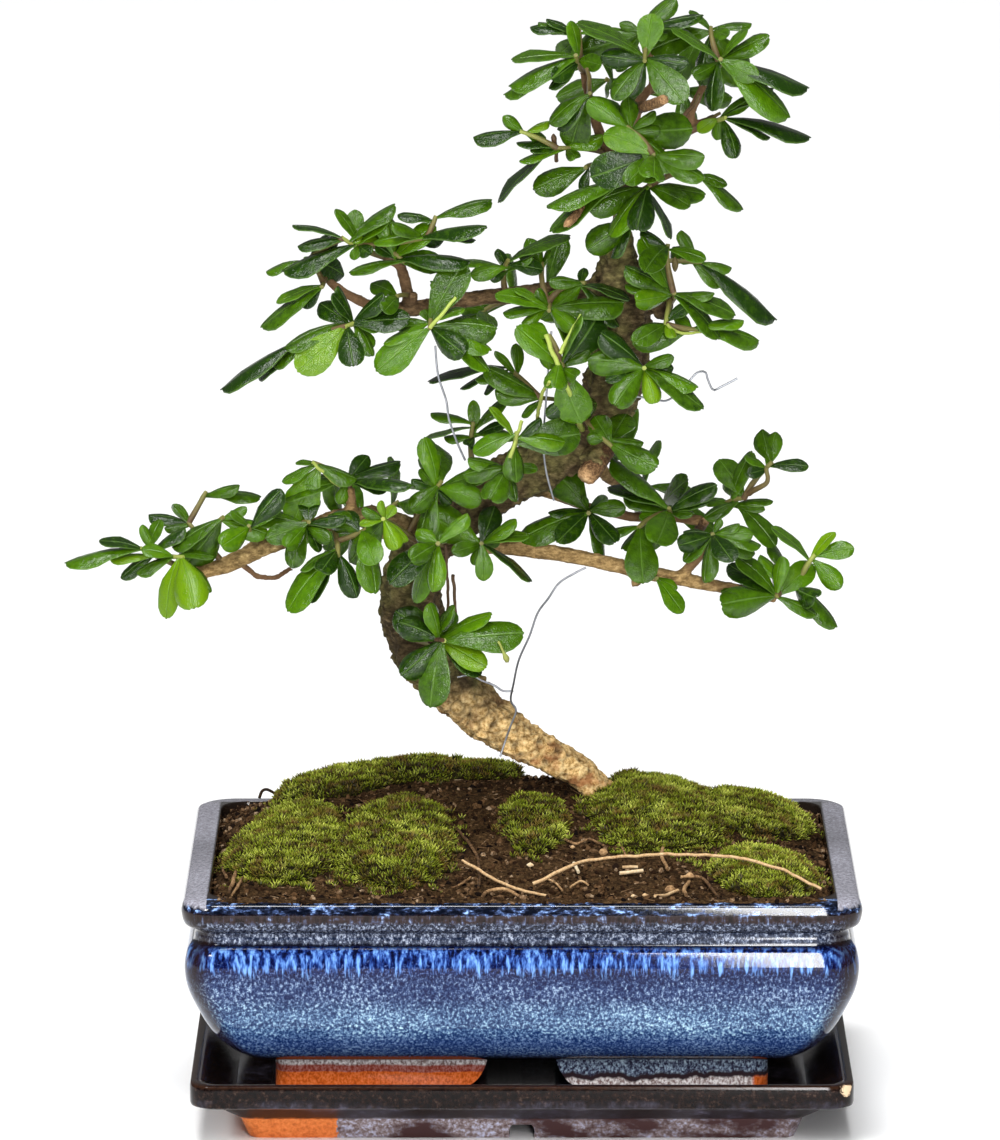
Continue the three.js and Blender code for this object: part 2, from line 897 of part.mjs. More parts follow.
// A cushion of moss with a wavy edge, its foot sunk below the soil's surface.
function cushion([x, y, radiusX, radiusY, thickness], random) {
  const sides = 9;
  const phase = random() * 6;
  const ring = (scale, height) =>
    Array.from({ length: sides }, (_, k) => {
      const angle = (k / sides) * 2 * Math.PI;
      const wave = 1 + 0.06 * Math.sin(3 * angle + phase) + 0.04 * Math.sin(7 * angle + 2 * phase);
      const px = x + radiusX * wave * scale * Math.cos(angle);
      const py = y + radiusY * wave * scale * Math.sin(angle);
      const bump = scale < 0.95 ? (random() - 0.5) * 1.6 : 0;
      return new THREE.Vector3(px, py, soilHeight(px, py) + height * thickness + bump);
    });
  return loft([ring(0.97, -0.8), ring(1, 0.2), ring(0.85, 0.75), ring(0.4, 1)]);
}

// Spreads stations evenly between the rows of a limb, along a smooth curve.
function stationsAlong(rows, steps) {
  const curve = new THREE.CatmullRomCurve3(rows.map(vector), false, "centripetal");
  return Array.from({ length: steps + 1 }, (_, i) => {
    const place = (i / steps) * (rows.length - 1);
    const low = Math.min(Math.floor(place), rows.length - 2);
    const radius = THREE.MathUtils.lerp(rows[low][3], rows[low + 1][3], place - low);
    return { point: curve.getPoint(i / steps), radius };
  });
}

// A closed tube through stations of {point, radius}. "relief" scales each point of each ring.
function tube(stations, sides, relief = () => 1) {
  const side = new THREE.Vector3(0.3, 0.2, 1);
  const before = new THREE.Vector3();
  const rings = stations.map(({ point, radius }, i) => {
    const ahead = stations[Math.min(i + 1, stations.length - 1)].point;
    const behind = stations[Math.max(i - 1, 0)].point;
    const along = ahead.clone().sub(behind).normalize();
    if (i === 0 && Math.abs(along.dot(side)) > 0.9) side.set(1, 0.2, 0.1);
    side.addScaledVector(along, -side.dot(along)).normalize();
    before.crossVectors(along, side);
    return Array.from({ length: sides }, (_, k) => {
      const angle = (k / sides) * 2 * Math.PI;
      const reach = radius * relief(i, k);
      return point
        .clone()
        .addScaledVector(side, reach * Math.cos(angle))
        .addScaledVector(before, reach * Math.sin(angle));
    });
  });
  return loft(rings);
}

function limb(name, grow) {
  const rows = LIMBS[name];
  const thick = rows[0][3] > 7;
  const lengths = rows.slice(1).map((row, i) => vector(row).distanceTo(vector(rows[i])));
  const total = lengths.reduce((sum, length) => sum + length, 0);
  const steps = Math.max(rows.length > 2 ? 3 : 1, Math.round(total / STATION_STEP));
  const random = draws(name.length * 977 + 31);
  const roughness = thick ? 0.07 : 0.05;
  const stations = stationsAlong(rows, steps).map(({ point, radius }) => ({
    point,
    radius: radius + grow,
  }));
  return tube(stations, thick ? 9 : 5, () => 1 + roughness * (2 * random() - 1));
}

function makeWood(grow = 0) {
  return Object.keys(LIMBS)
    .map((name) => limb(name, grow))
    .reduce((whole, piece) => whole.add(piece));
}

function makeWire(runs) {
  return runs
    .map((rows) => {
      const sized = rows.map((row) => [...row, WIRE_RADIUS]);
      return tube(stationsAlong(sized, rows.length + 1), 4);
    })
    .reduce((whole, piece) => whole.add(piece));
}

function makeRoot(rows, grow = 0) {
  const sized = rows.map(([x, y, z, radius]) => [x, y, z, radius + grow]);
  return tube(stationsAlong(sized, rows.length), 4);
}

const ACROSS = new THREE.Vector3(1, 0, 0);
const UPWARD = new THREE.Vector3(0, Math.sin(VIEW_TILT), Math.cos(VIEW_TILT));
const NEARER = new THREE.Vector3(0, -Math.cos(VIEW_TILT), Math.sin(VIEW_TILT));

// A leaf from its reading. What it lacks in seen length it has in depth: a leaf that points down
// comes forward and one that points up leans back, so that its upper face shows.
function leafFromReading([across, up, width], random) {
  const seen = Math.hypot(across, up);
  const length = Math.max(seen, Math.min(2 * width, LEAF_LENGTH));
  const sign = Math.abs(up) > 2 ? -Math.sign(up) : Math.sign(random() - 0.5);
  const lean = 4 * (random() - 0.5);
  const depth = sign * Math.sqrt(length ** 2 - seen ** 2) + lean;
  const run = new THREE.Vector3()
    .addScaledVector(ACROSS, across)
    .addScaledVector(UPWARD, up)
    .addScaledVector(NEARER, depth);
  const full = Math.max(width, 0.5 * run.length());
  return { run, width: full, shown: Math.min(1, width / full) };
}

// Leaves all round the end of a shoot on the far side.
function rosette(out, random) {
  const side = new THREE.Vector3().crossVectors(out, UPWARD).normalize();
  const other = new THREE.Vector3().crossVectors(out, side);
  return Array.from({ length: BACK_LEAVES }, (_, i) => {
    const round = ((i + 0.5 * random()) / BACK_LEAVES) * 2 * Math.PI;
    const spread = 0.9 + 0.4 * random();
    const length = 17 + 6 * random();
    const run = new THREE.Vector3()
      .addScaledVector(out, Math.cos(spread))
      .addScaledVector(side, Math.sin(spread) * Math.cos(round))
      .addScaledVector(other, Math.sin(spread) * Math.sin(round))
      .multiplyScalar(length);
    return { run, width: 0.5 * length, shown: 0.3 + 0.6 * random() };
  });
}

// The direction that a blade's upper face looks in, when it shows this share of its width.
function faceOf(run, shown) {
  const along = run.clone().normalize();
  const open = NEARER.clone().addScaledVector(along, -NEARER.dot(along)).normalize();
  const edge = new THREE.Vector3().crossVectors(along, open);
  const turn = Math.acos(shown) * (edge.z > 0 ? 1 : -1);
  return open.multiplyScalar(Math.cos(turn)).addScaledVector(edge, Math.sin(turn));
}

// Outlines of a leaf, as rows of [share of its length, share of its width].
function outlineFor(length) {
  if (length >= TOOTHED_FROM) return [[0, 0], [0.48, 0.39], [0.82, 0.5], [0.87, 0.25], [1, 0]];
  return [[0, 0], [0.5, 0.43], [0.82, 0.42], [1, 0]];
}

// A blade: an arched plate with a leaf's outline. Its upper and lower points are made in pairs.
function blade(base, run, width, shown, grow = 0) {
  const length = run.length();
  const along = run.clone().normalize();
  const face = faceOf(run, shown);
  const across = new THREE.Vector3().crossVectors(along, face);
  const half = BLADE_THICKNESS / 2 + grow;
  const points = [];
  const pair = (place, offset) => {
    const arch = ARCH * length * place * (1 - place);
    const point = base
      .clone()
      .addScaledVector(along, place * length)
      .addScaledVector(face, arch)
      .addScaledVector(across, offset);
    points.push(point.clone().addScaledVector(face, half), point.addScaledVector(face, -half));
    return points.length - 2;
  };
  const rows = outlineFor(length).map(([place, share]) => {
    if (share === 0) return [pair(place, 0)];
    const reach = share * width + grow;
    return [pair(place, -reach), pair(place, reach)];
  });
  const triangles = [];
  const face3 = (a, b, c) => triangles.push([a, b, c], [a + 1, c + 1, b + 1]);
  const wall = (a, b) => triangles.push([a, b, b + 1], [a, b + 1, a + 1]);
  for (let i = 0; i + 1 < rows.length; i++) {
    const [left, right = left] = rows[i];
    const [nextLeft, nextRight = nextLeft] = rows[i + 1];
    if (left !== right) face3(left, right, nextRight);
    if (nextLeft !== nextRight) face3(left, nextRight, nextLeft);
    wall(left, nextLeft);
    wall(nextRight, right);
  }
  return solid(points, triangles);
}

// A straight shoot, a little swollen at its end. Its leaves start on its middle line.
function twig(from, to) {
  const over = to.clone().sub(from).setLength(1);
  return tube(
    [
      { point: from, radius: TWIG_RADIUS },
      { point: to.clone().add(over), radius: BUD_RADIUS },
    ],
    3,
  );
}

// Ways to bend a leaf clear of what it would cross: further forward or back by these steps, and
// then turned a little as well.
const DEPTH_STEPS = [0, 3, -3, 6, -6, 9, -9, 12, -12, 16, -16];
const TURNS = [0, 0.2, -0.2, 0.4, -0.4];
const WAYS = TURNS.flatMap((turn) => DEPTH_STEPS.map((step) => ({ turn, step })));

function boxesMeet(a, b) {
  return [0, 1, 2].every((i) => a.min[i] <= b.max[i] && b.min[i] <= a.max[i]);
}

// Everything that stands so far, to keep each new leaf clear of it.
class Neighbours {
  constructor() {
    this.pieces = [];
  }

  add(node, piece, isBlade = false) {
    this.pieces.push({ node, piece, isBlade, box: piece.boundingBox() });
  }

  // Whether a piece would cross another node, or with "own" an earlier blade of its own node.
  crosses(node, piece, own) {
    const box = piece.boundingBox();
    return this.pieces.some((other) => {
      const counts = other.node === node ? own && other.isBlade : true;
      return counts && boxesMeet(box, other.box) && !other.piece.intersect(piece).isEmpty();
    });
  }
}

// The first way that keeps a leaf clear, at best also of its own spray's leaves.
function clearRun(node, base, leaf, neighbours) {
  for (const own of [true, false]) {
    for (const { turn, step } of WAYS) {
      const run = leaf.run.clone().addScaledVector(NEARER, step).applyAxisAngle(NEARER, turn);
      const start = base.clone().addScaledVector(run, 0.15);
      const rest = run.clone().multiplyScalar(0.87);
      const wide = blade(start, rest, leaf.width, leaf.shown, GAP);
      if (!neighbours.crosses(node, wide, own)) {
        neighbours.add(node, wide, true);
        return run;
      }
    }
  }
  return null;
}

// Where a spray's first shoot first stands clear of the wood that carries it.
function clearStart(root, at, wood) {
  const steps = Math.ceil(root.distanceTo(at) / 0.4);
  for (let i = 0; i < steps; i++) {
    const from = root.clone().lerp(at, i / steps);
    if (twig(from, at).intersect(wood).isEmpty()) return from;
  }
  return root;
}

// A spray's shoots with their ends as vectors, and its stems joined into one solid.
function growStems(name, spray, wood, neighbours) {
  const root = vector(spray.root);
  const shoots = spray.shoots.map((shoot) => ({ ...shoot, at: vector(shoot.at) }));
  const fork = root.clone().lerp(shoots[0].at, 0.6);
  for (const shoot of shoots) {
    shoot.from = shoot.after === undefined ? fork : shoots[shoot.after].at;
  }
  shoots[0].from = clearStart(root, shoots[0].at, wood);
  const stems = shoots.map((shoot) => twig(shoot.from, shoot.at));
  stems.forEach((stem) => neighbours.add(name, stem));
  return { name, shoots, stems: stems.reduce((whole, stem) => whole.add(stem)) };
}

function growLeaves({ name, shoots, stems }, neighbours) {
  const random = draws(name.length * 1009 + shoots.length * 77 + 5);
  let spray = stems;
  for (const shoot of shoots) {
    const out = shoot.at.clone().sub(shoot.from);
    const room = out.length() * 0.55;
    out.normalize();
    const leaves = shoot.leaves
      ? shoot.leaves.map((reading) => leafFromReading(reading, random))
      : rosette(out, random);
    const spacing = Math.min(LEAF_SPACING, room / leaves.length);
    leaves.forEach((leaf, i) => {
      const base = shoot.at.clone().addScaledVector(out, -spacing * i);
      leaf.run.addScaledVector(out, spacing * i);
      const run = clearRun(name, base, leaf, neighbours);
      if (run) spray = spray.add(blade(base, run, leaf.width, leaf.shown));
    });
  }
  return spray;
}

function meshOf(name, piece, { color, roughness, metalness = 0 }) {
  const { vertProperties, triVerts, numProp } = piece.getMesh();
  const geometry = new THREE.BufferGeometry();
  const positions = [];
  for (let i = 0; i < vertProperties.length; i += numProp) {
    positions.push(vertProperties[i], vertProperties[i + 1], vertProperties[i + 2]);
  }
  geometry.setAttribute("position", new THREE.Float32BufferAttribute(positions, 3));
  geometry.setIndex([...triVerts]);
  geometry.computeVertexNormals();
  const mesh = new THREE.Mesh(
    geometry,
    new THREE.MeshStandardMaterial({ color, roughness, metalness }),
  );
  mesh.name = name;
  return mesh;
}

const LOOKS = {
  glaze: { color: 0x2b4a9c, roughness: 0.15 },
  darkGlaze: { color: 0x1d1416, roughness: 0.12 },
  soil: { color: 0x2a1c14, roughness: 0.95 },
  moss: { color: 0x6c8420, roughness: 0.9 },
  bark: { color: 0x7a6748, roughness: 0.85 },
  root: { color: 0xa07a4c, roughness: 0.8 },
  wire: { color: 0x6b6d70, roughness: 0.35, metalness: 0.9 },
  leaf: { color: 0x1f7a1c, roughness: 0.3 },
};

const wood = makeWood();
const woodClear = makeWood(GAP + 0.1);
const soilWhole = makeSoil(0);
const soilRaised = makeSoil(GAP);

const pieces = [
  ["saucer", makeSaucer(), LOOKS.darkGlaze],
  ["pot", makePot(), LOOKS.glaze],
  ["trunk_and_branches", wood, LOOKS.bark],
];

const rootsClear = Object.values(ROOTS)
  .map((rows) => makeRoot(rows, GAP))
  .reduce((whole, piece) => whole.add(piece));
pieces.push(["soil", soilWhole.subtract(woodClear).subtract(rootsClear), LOOKS.soil]);
for (const [name, rows] of Object.entries(ROOTS)) {
  pieces.push([name, makeRoot(rows), LOOKS.root]);
}

const mossRandom = draws(71);
for (const [name, rows] of Object.entries(MOSS)) {
  const cushions = rows.map((row) => cushion(row, mossRandom)).reduce((a, b) => a.add(b));
  const cut = cushions.subtract(soilRaised).subtract(woodClear).subtract(rootsClear);
  const parts = cut.decompose().sort((a, b) => b.volume() - a.volume());
  pieces.push([name, parts[0], LOOKS.moss]);
}

const neighbours = new Neighbours();
neighbours.add("trunk_and_branches", wood);
for (const [name, runs] of Object.entries(WIRES)) {
  const wire = makeWire(runs);
  neighbours.add(name, wire);
  pieces.push([name, wire, LOOKS.wire]);
}

const backSprays = Object.entries(BACK_SPRAYS).map(([name, { root, shoots }]) => [
  name,
  { root, shoots: shoots.map((at) => ({ at })) },
]);
const sprays = [...Object.entries(SPRAYS), ...backSprays].map(([name, spray]) =>
  growStems(`leaves_${name}`, spray, woodClear, neighbours),
);
for (const spray of sprays) {
  pieces.push([spray.name, growLeaves(spray, neighbours), LOOKS.leaf]);
}

const model = new THREE.Group();
for (const [name, piece, look] of pieces) model.add(meshOf(name, piece, look));

const bounds = new THREE.Box3().setFromObject(model);
const middle = bounds.getCenter(new THREE.Vector3());
model.position.set(-middle.x, -middle.y, -bounds.min.z);

const group = new THREE.Group();
group.add(model);

export default group;
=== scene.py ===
# %% [markdown]
# # A fukien tea bonsai in a glazed pot
#
# The tree stands in a blue stoneware pot on a dark saucer. The solids of all its parts come in as
# plain grey nodes. Each cell below takes one of them and makes the piece that a viewer sees: the
# bark, the leaves, the moss, the soil and the two glazes. Sizes are in millimetres from the
# ground below the pot's middle, because that is how one would measure the real thing.

# %% Load the solids
import math

import bmesh
import bpy
import numpy as np
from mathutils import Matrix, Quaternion, Vector, noise
from mathutils.bvhtree import BVHTree
from mathutils.kdtree import KDTree


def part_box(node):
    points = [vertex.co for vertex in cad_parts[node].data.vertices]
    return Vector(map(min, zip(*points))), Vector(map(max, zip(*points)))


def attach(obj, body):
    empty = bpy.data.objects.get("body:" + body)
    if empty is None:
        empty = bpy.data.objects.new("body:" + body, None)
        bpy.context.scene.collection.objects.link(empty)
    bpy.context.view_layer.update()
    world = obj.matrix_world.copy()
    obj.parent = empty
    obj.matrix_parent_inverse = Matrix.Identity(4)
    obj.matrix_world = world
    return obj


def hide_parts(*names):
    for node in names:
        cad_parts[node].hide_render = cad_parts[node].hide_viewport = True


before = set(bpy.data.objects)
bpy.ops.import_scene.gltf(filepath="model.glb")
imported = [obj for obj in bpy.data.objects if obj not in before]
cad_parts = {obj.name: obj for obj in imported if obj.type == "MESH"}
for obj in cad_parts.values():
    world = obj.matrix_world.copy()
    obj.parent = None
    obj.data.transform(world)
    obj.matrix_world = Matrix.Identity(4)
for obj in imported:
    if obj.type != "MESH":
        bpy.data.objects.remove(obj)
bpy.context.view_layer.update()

MM = 0.001
POT_FOOT = 11.3  # mm, the height at which the pot's feet stand
pot_low, pot_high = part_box("pot")
CENTRE = (pot_low + pot_high) / 2
CENTRE.z = pot_low.z - POT_FOOT * MM


def place(x, y, z):
    """A point in metres, from millimetres round the pot's middle."""
    return CENTRE + MM * Vector((x, y, z))


print("nodes:", len(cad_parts), "pot's middle:", CENTRE)

# %% [markdown]
# ## Camera and light
#
# The camera has a long lens and stands well back, a little above the tree, so upright lines stay
# upright and only the top of the soil shows. A wide overhead light models the leaves and keeps
# the floor white, a tall strip light on the right leaves its reflection on the pot's shoulder, a
# window on the left makes the leaves glint, and a dim white surrounding fills the shadows.

# %% Camera and lights
scene = bpy.context.scene
CAMERA_PITCH = 0.18386  # radians below level
SENSOR = 36
FOCAL_LENGTH = 286.0

camera = bpy.data.objects.new("Camera", bpy.data.cameras.new("Camera"))
camera.location = place(-8.05, -3326.7, 814.3)
camera.rotation_euler = (math.pi / 2 - CAMERA_PITCH, 0, 0)
camera.data.lens = FOCAL_LENGTH
camera.data.sensor_width = SENSOR
camera.data.clip_end = 20
scene.collection.objects.link(camera)
scene.camera = camera

LIGHTS = {
    # name: (place in mm, width m, height m, power W)
    "window_left": ((-1300, -1500, 1300), 0.35, 0.35, 24),
    "strip_right": ((171, -1500, 780), 0.13, 1.5, 30),
}
for name, (spot, width, height, power) in LIGHTS.items():
    light = bpy.data.lights.new(name, "AREA")
    light.shape = "RECTANGLE"
    light.size = width
    light.size_y = height
    light.energy = power
    lamp = bpy.data.objects.new(name, light)
    lamp.location = place(*spot)
    aim = place(0, 0, 180) - lamp.location
    lamp.rotation_euler = aim.to_track_quat("-Z", "Y").to_euler()
    scene.collection.objects.link(lamp)

overhead = bpy.data.lights.new("overhead", "SUN")
overhead.energy = 3.0
overhead.angle = math.radians(19)
lamp = bpy.data.objects.new("overhead", overhead)
lamp.rotation_euler = (math.radians(12), math.radians(-6), 0)
scene.collection.objects.link(lamp)

scene.world = bpy.data.worlds.new("White studio")
scene.world.use_nodes = True
scene.world.node_tree.nodes["Background"].inputs["Color"].default_value = (1, 1, 1, 1)
scene.world.node_tree.nodes["Background"].inputs["Strength"].default_value = 0.2
scene.view_settings.view_transform = "Standard"
print("camera at", tuple(round(c, 3) for c in camera.location), "lights:", [*LIGHTS, "overhead"])

# %% [markdown]
# ## Helpers
#
# A material and a Geometry Nodes tree are both networks of small boxes whose sockets are linked.
# The helper below adds a box and links it in one call. It also lets outputs be added, multiplied
# and compared with Python's own signs, so that a rule for a shape or a colour reads as a formula.


# %% Values that can be calculated with
class Value:
    """A node's output that can be calculated with: each sign adds a Math node."""

    def __init__(self, wiring, socket):
        self.wiring = wiring
        self.socket = socket

    def __abs__(self):
        return self.wiring.math("ABSOLUTE", self)


def math_sign(operation, turned=False):
    """What a sign does. It is turned round when a plain number stands before the value."""
    def calculate(value, other):
        pair = (other, value) if turned else (value, other)
        return value.wiring.math(operation, *pair)
    return calculate


SIGNS = {"add": "ADD", "sub": "SUBTRACT", "mul": "MULTIPLY", "truediv": "DIVIDE", "pow": "POWER"}
for name, operation in SIGNS.items():
    setattr(Value, f"__{name}__", math_sign(operation))
    setattr(Value, f"__r{name}__", math_sign(operation, turned=True))
Value.__gt__ = math_sign("GREATER_THAN")
Value.__lt__ = math_sign("LESS_THAN")
print("signs:", ", ".join(SIGNS))


# %% A helper that adds nodes to a tree
class Wiring:
    """Adds nodes. An input is a number, a value to link from, or None to leave it alone."""

    def __init__(self, tree):
        self.tree = tree

    def add(self, kind, *inputs, **settings):
        """Adds a node. Its inputs come in order, or in a dictionary by their names."""
        node = self.tree.nodes.new(kind)
        for name, value in settings.items():
            setattr(node, name, value)
        if inputs and isinstance(inputs[0], dict):
            pairs = [(value, node.inputs[name]) for name, value in inputs[0].items()]
        else:
            pairs = zip(inputs, [socket for socket in node.inputs if socket.enabled])
        for value, socket in pairs:
            self.plug(value, socket)
        return node

    def plug(self, value, socket):
        if isinstance(value, Value):
            value = value.socket
        if isinstance(value, bpy.types.NodeSocket):
            self.tree.links.new(value, socket)
        elif value is not None:
            socket.default_value = value

    def out(self, kind, *inputs, output=None, **settings):
        """Adds a node and gives the output of this name, or else the first that is open."""
        node = self.add(kind, *inputs, **settings)
        return Value(self, node.outputs[output] if output else next(
            socket for socket in node.outputs if socket.enabled))

    def math(self, operation, *values):
        return self.out("ShaderNodeMath", *values, operation=operation)

    def vector(self, operation, *values):
        return self.out("ShaderNodeVectorMath", *values, operation=operation)

    def xyz(self, value):
        node = self.add("ShaderNodeSeparateXYZ", value)
        return [Value(self, socket) for socket in node.outputs]

    def mix(self, share, first, second):
        """Between two colours."""
        return self.out("ShaderNodeMix", share, first, second, data_type="RGBA")

    def between(self, value, low, high, to_low=0.0, to_high=1.0):
        """Takes a range of values to another, and stays inside it."""
        return self.out("ShaderNodeMapRange", value, low, high, to_low, to_high)

    def ramp(self, share, stops):
        """A colour ramp from rows of (place, colour)."""
        node = self.add("ShaderNodeValToRGB", share)
        elements = node.color_ramp.elements
        while len(elements) < len(stops):
            elements.new(0.5)
        for element, (spot, colour) in zip(elements, stops):
            element.position = spot
            element.color = (*colour, 1)
        return Value(self, node.outputs["Color"])

    def noise(self, place, scale, detail=3.0, roughness=0.5):
        return self.out("ShaderNodeTexNoise", {
            "Vector": place, "Scale": scale, "Detail": detail, "Roughness": roughness})

    def mark(self, geometry, name, value, domain="POINT", kind="FLOAT"):
        """Stores a value on the geometry under a name."""
        return self.out("GeometryNodeStoreNamedAttribute", geometry, None, name, value,
                        data_type=kind, domain=domain)

    def smooth(self, geometry):
        return self.out("GeometryNodeSetShadeSmooth", geometry, None, True)

    def real(self, *parts):
        """Joins the parts and makes their instances real, so that they can be painted."""
        whole = parts[0]
        if len(parts) > 1:
            join = self.add("GeometryNodeJoinGeometry")
            for part in parts:
                self.plug(part, join.inputs[0])
            whole = join.outputs[0]
        return self.out("GeometryNodeRealizeInstances", whole)

    def paint(self, geometry, material, where=None):
        return self.out("GeometryNodeSetMaterial", geometry, where, material)

    def tubes(self, chain, sides):
        """Smooth tubes along a chain, as thick as each point says."""
        circle = self.add("GeometryNodeCurvePrimitiveCircle", {"Resolution": sides, "Radius": 1.0})
        radius = self.out("GeometryNodeInputNamedAttribute", "stem_radius", data_type="FLOAT")
        return self.smooth(self.out(
            "GeometryNodeCurveToMesh", chain, circle.outputs["Curve"], radius, True))


# %% [markdown]
# A finish is a material with all of its nodes in the Principled shader. Its patterns are laid
# out in metres round the pot's middle, so they don't move when a mesh is built anew. Heights at
# which a colour changes are given in millimetres, softened a little and shifted by a noise.


# %% A helper that makes a material
class Finish(Wiring):
    """A material: wires its nodes and sets the shader."""

    def __init__(self, name, **values):
        self.material = bpy.data.materials.new(name)
        self.material.use_nodes = True
        super().__init__(self.material.node_tree)
        self.shader = self.tree.nodes["Principled BSDF"]
        for socket, value in values.items():
            self.shader.inputs[socket.replace("_", " ")].default_value = value

    def set(self, socket, value):
        self.plug(value, self.shader.inputs[socket])

    def place(self, scale=(1, 1, 1)):
        """Metres round the pot's middle, stretched by a scale on each axis."""
        spot = self.out("ShaderNodeTexCoord", output="Object")
        spot = self.vector("SUBTRACT", spot, CENTRE)
        return self.vector("MULTIPLY", spot, scale)

    def attribute(self, name, output="Fac"):
        return self.out("ShaderNodeAttribute", attribute_name=name, output=output)

    def above(self, value, level, soft):
        """0 below a level and 1 above it, softened by so much either way, all in mm."""
        return self.between(value, (level - soft) * MM, (level + soft) * MM)

    def below(self, value, level, soft):
        return self.between(value, (level + soft) * MM, (level - soft) * MM)

    def ragged(self, value, noise, reach, low=0.3, high=0.7):
        """A length that a noise shifts by up to this many mm either way."""
        return value + self.between(noise, low, high, -reach * MM, reach * MM)

    def bump(self, height, distance_mm, strength=1.0):
        self.set("Normal", self.out("ShaderNodeBump", {
            "Strength": strength, "Distance": distance_mm * MM, "Height": height}))


# %% The floor
FLOOR_SIZE = 12  # m
floor_look = Finish("Floor", Roughness=0.7, Base_Color=(0.93, 0.93, 0.93, 1))
bpy.ops.mesh.primitive_plane_add(size=FLOOR_SIZE)
floor = bpy.context.object
floor.name = "floor"
floor.data.materials.append(floor_look.material)
print("floor:", FLOOR_SIZE, "m wide")

# %% [markdown]
# A modifier is a live recipe on an object. The pieces are kept as plain meshes, so each
# recipe is worked out once and its result is kept. Every finished mesh then hides the solid that
# it stands for.


# %% Helpers that turn geometry into finished pieces
def new_object(name, mesh):
    made = bpy.data.objects.new(name, mesh)
    scene.collection.objects.link(made)
    return made


def plain_mesh(made):
    """The mesh that an object's modifiers give. The object itself goes."""
    made.data.name = made.name + "_start"
    depsgraph = bpy.context.evaluated_depsgraph_get()
    mesh = bpy.data.meshes.new_from_object(made.evaluated_get(depsgraph))
    bpy.data.objects.remove(made)
    return mesh


def finish_piece(name, mesh, slot, *nodes):
    """Puts a finished mesh in the scene as a piece that stands for these nodes."""
    mesh.name = name
    made = new_object(name, mesh)
    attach(made, "root")
    if nodes:
        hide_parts(*nodes)
    print(f"{name}: {len(mesh.polygons)} faces")
    return made


def node_copy(node):
    """A copy of a node's mesh, with its loose triangles merged."""
    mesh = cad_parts[node].data.copy()
    mesh.materials.clear()
    shape = bmesh.new()
    shape.from_mesh(mesh)
    bmesh.ops.remove_doubles(shape, verts=shape.verts, dist=1e-6)
    shape.to_mesh(mesh)
    shape.free()
    return mesh


def new_tree(name, **inputs):
    """A Geometry Nodes tree with a geometry input and output, and these further inputs.

    An empty text stands for a material.
    """
    tree = bpy.data.node_groups.new(name, "GeometryNodeTree")
    tree.interface.new_socket("Geometry", in_out="INPUT", socket_type="NodeSocketGeometry")
    for title, value in inputs.items():
        kind = {float: "Float", int: "Int", str: "Material"}[type(value)]
        socket = tree.interface.new_socket(
            title.replace("_", " "), in_out="INPUT", socket_type="NodeSocket" + kind
        )
        if isinstance(value, (float, int)):
            socket.default_value = value
    tree.interface.new_socket("Geometry", in_out="OUTPUT", socket_type="NodeSocketGeometry")
    wiring = Wiring(tree)
    start = wiring.add("NodeGroupInput").outputs
    given = {socket.name: Value(wiring, socket) for socket in start if socket.name}
    return wiring, given, wiring.add("NodeGroupOutput").inputs


def grow(name, mesh, wiring, **values):
    """Runs a tree on a mesh and gives a plain mesh. Inputs that aren't named keep their values."""
    made = new_object(name, mesh)
    modifier = made.modifiers.new("Grow", "NODES")
    modifier.node_group = wiring.tree
    for item in wiring.tree.interface.items_tree:
        title = item.name.replace(" ", "_")
        if item.in_out == "INPUT" and title in values:
            modifier[item.identifier] = values[title]
    return plain_mesh(made)


print("helpers are ready")


# %% [markdown]
# ## Leaves
#
# A fukien tea leaf is a small glossy spatula: narrow at its foot, widest close to its end, with
# two or three blunt teeth there. Several sit round the end of each shoot. Modelling one leaf and
# placing it by a rule is the natural way, so a Geometry Nodes tree puts a flat plate on every
# leaf's foot, makes it real, and then bends each plate by that leaf's own numbers. The same tree
# draws the stems as tubes along the shoots.

# %% Finish of the leaves and stems
# Dark, middling and bright are partly the leaves' own shades and partly painted shade and painted
# light. Pale is a painted sheen. Yellow-green is the colour of young leaves.
LEAF_TONES_WITH_PAINTED_LIGHT = {"D": 0.0, "M": 0.3, "B": 0.6, "P": 0.42, "Y": 1.0}

leaf_look = Finish("Leaf upper side", Specular_IOR_Level=0.24)
tone = leaf_look.attribute("tone")
across, along, _ = leaf_look.xyz(leaf_look.attribute("blade_place", "Vector"))
side = abs(across)
mottle = leaf_look.noise(leaf_look.place(), 380, 4, 0.6)
shade = tone + leaf_look.between(mottle, 0.3, 0.7, -0.2, 0.2)
# From dark to yellow-green by tone, so this ramp paints the shade and light that the tones carry.
green = leaf_look.ramp(shade, [
    (0.0, (0.007, 0.023, 0.001)),
    (0.3, (0.028, 0.07, 0.001)),
    (0.6, (0.044, 0.112, 0.001)),
    (1.0, (0.088, 0.172, 0.002)),
])
vein_phase = along * 6.5 - side * 1.5
vein_wave = leaf_look.math("PINGPONG", vein_phase, 0.5)
lateral = leaf_look.between(vein_wave, 0.0, 0.09, 1.0, 0.0)
midrib = leaf_look.between(side, 0.02, 0.09, 1.0, 0.0)
# The pale midrib is the leaf's own colour. The faint pale lateral veins are a painted highlight.
midrib_and_vein_glints = leaf_look.math("MAXIMUM", midrib, lateral * 0.08)
pale_green = (0.11, 0.21, 0.035, 1)
veined = leaf_look.mix(midrib_and_vein_glints * 0.4, green, pale_green)
# A pale rim along the edge: a painted highlight on the curled margin.
painted_edge_highlight = leaf_look.between(side, 0.93, 1.0, 0.0, 0.3)
leaf_look.set("Base Color", leaf_look.mix(painted_edge_highlight, veined, pale_green))
pebbles = leaf_look.noise(leaf_look.place(), 1500, 2)
grooves = leaf_look.math("MAXIMUM", midrib, lateral * 0.16)
relief = pebbles * 0.8 - grooves
leaf_look.bump(relief, 0.3, 0.9)
leaf_look.set("Roughness", leaf_look.between(mottle, 0.2, 0.8, 0.08, 0.2))

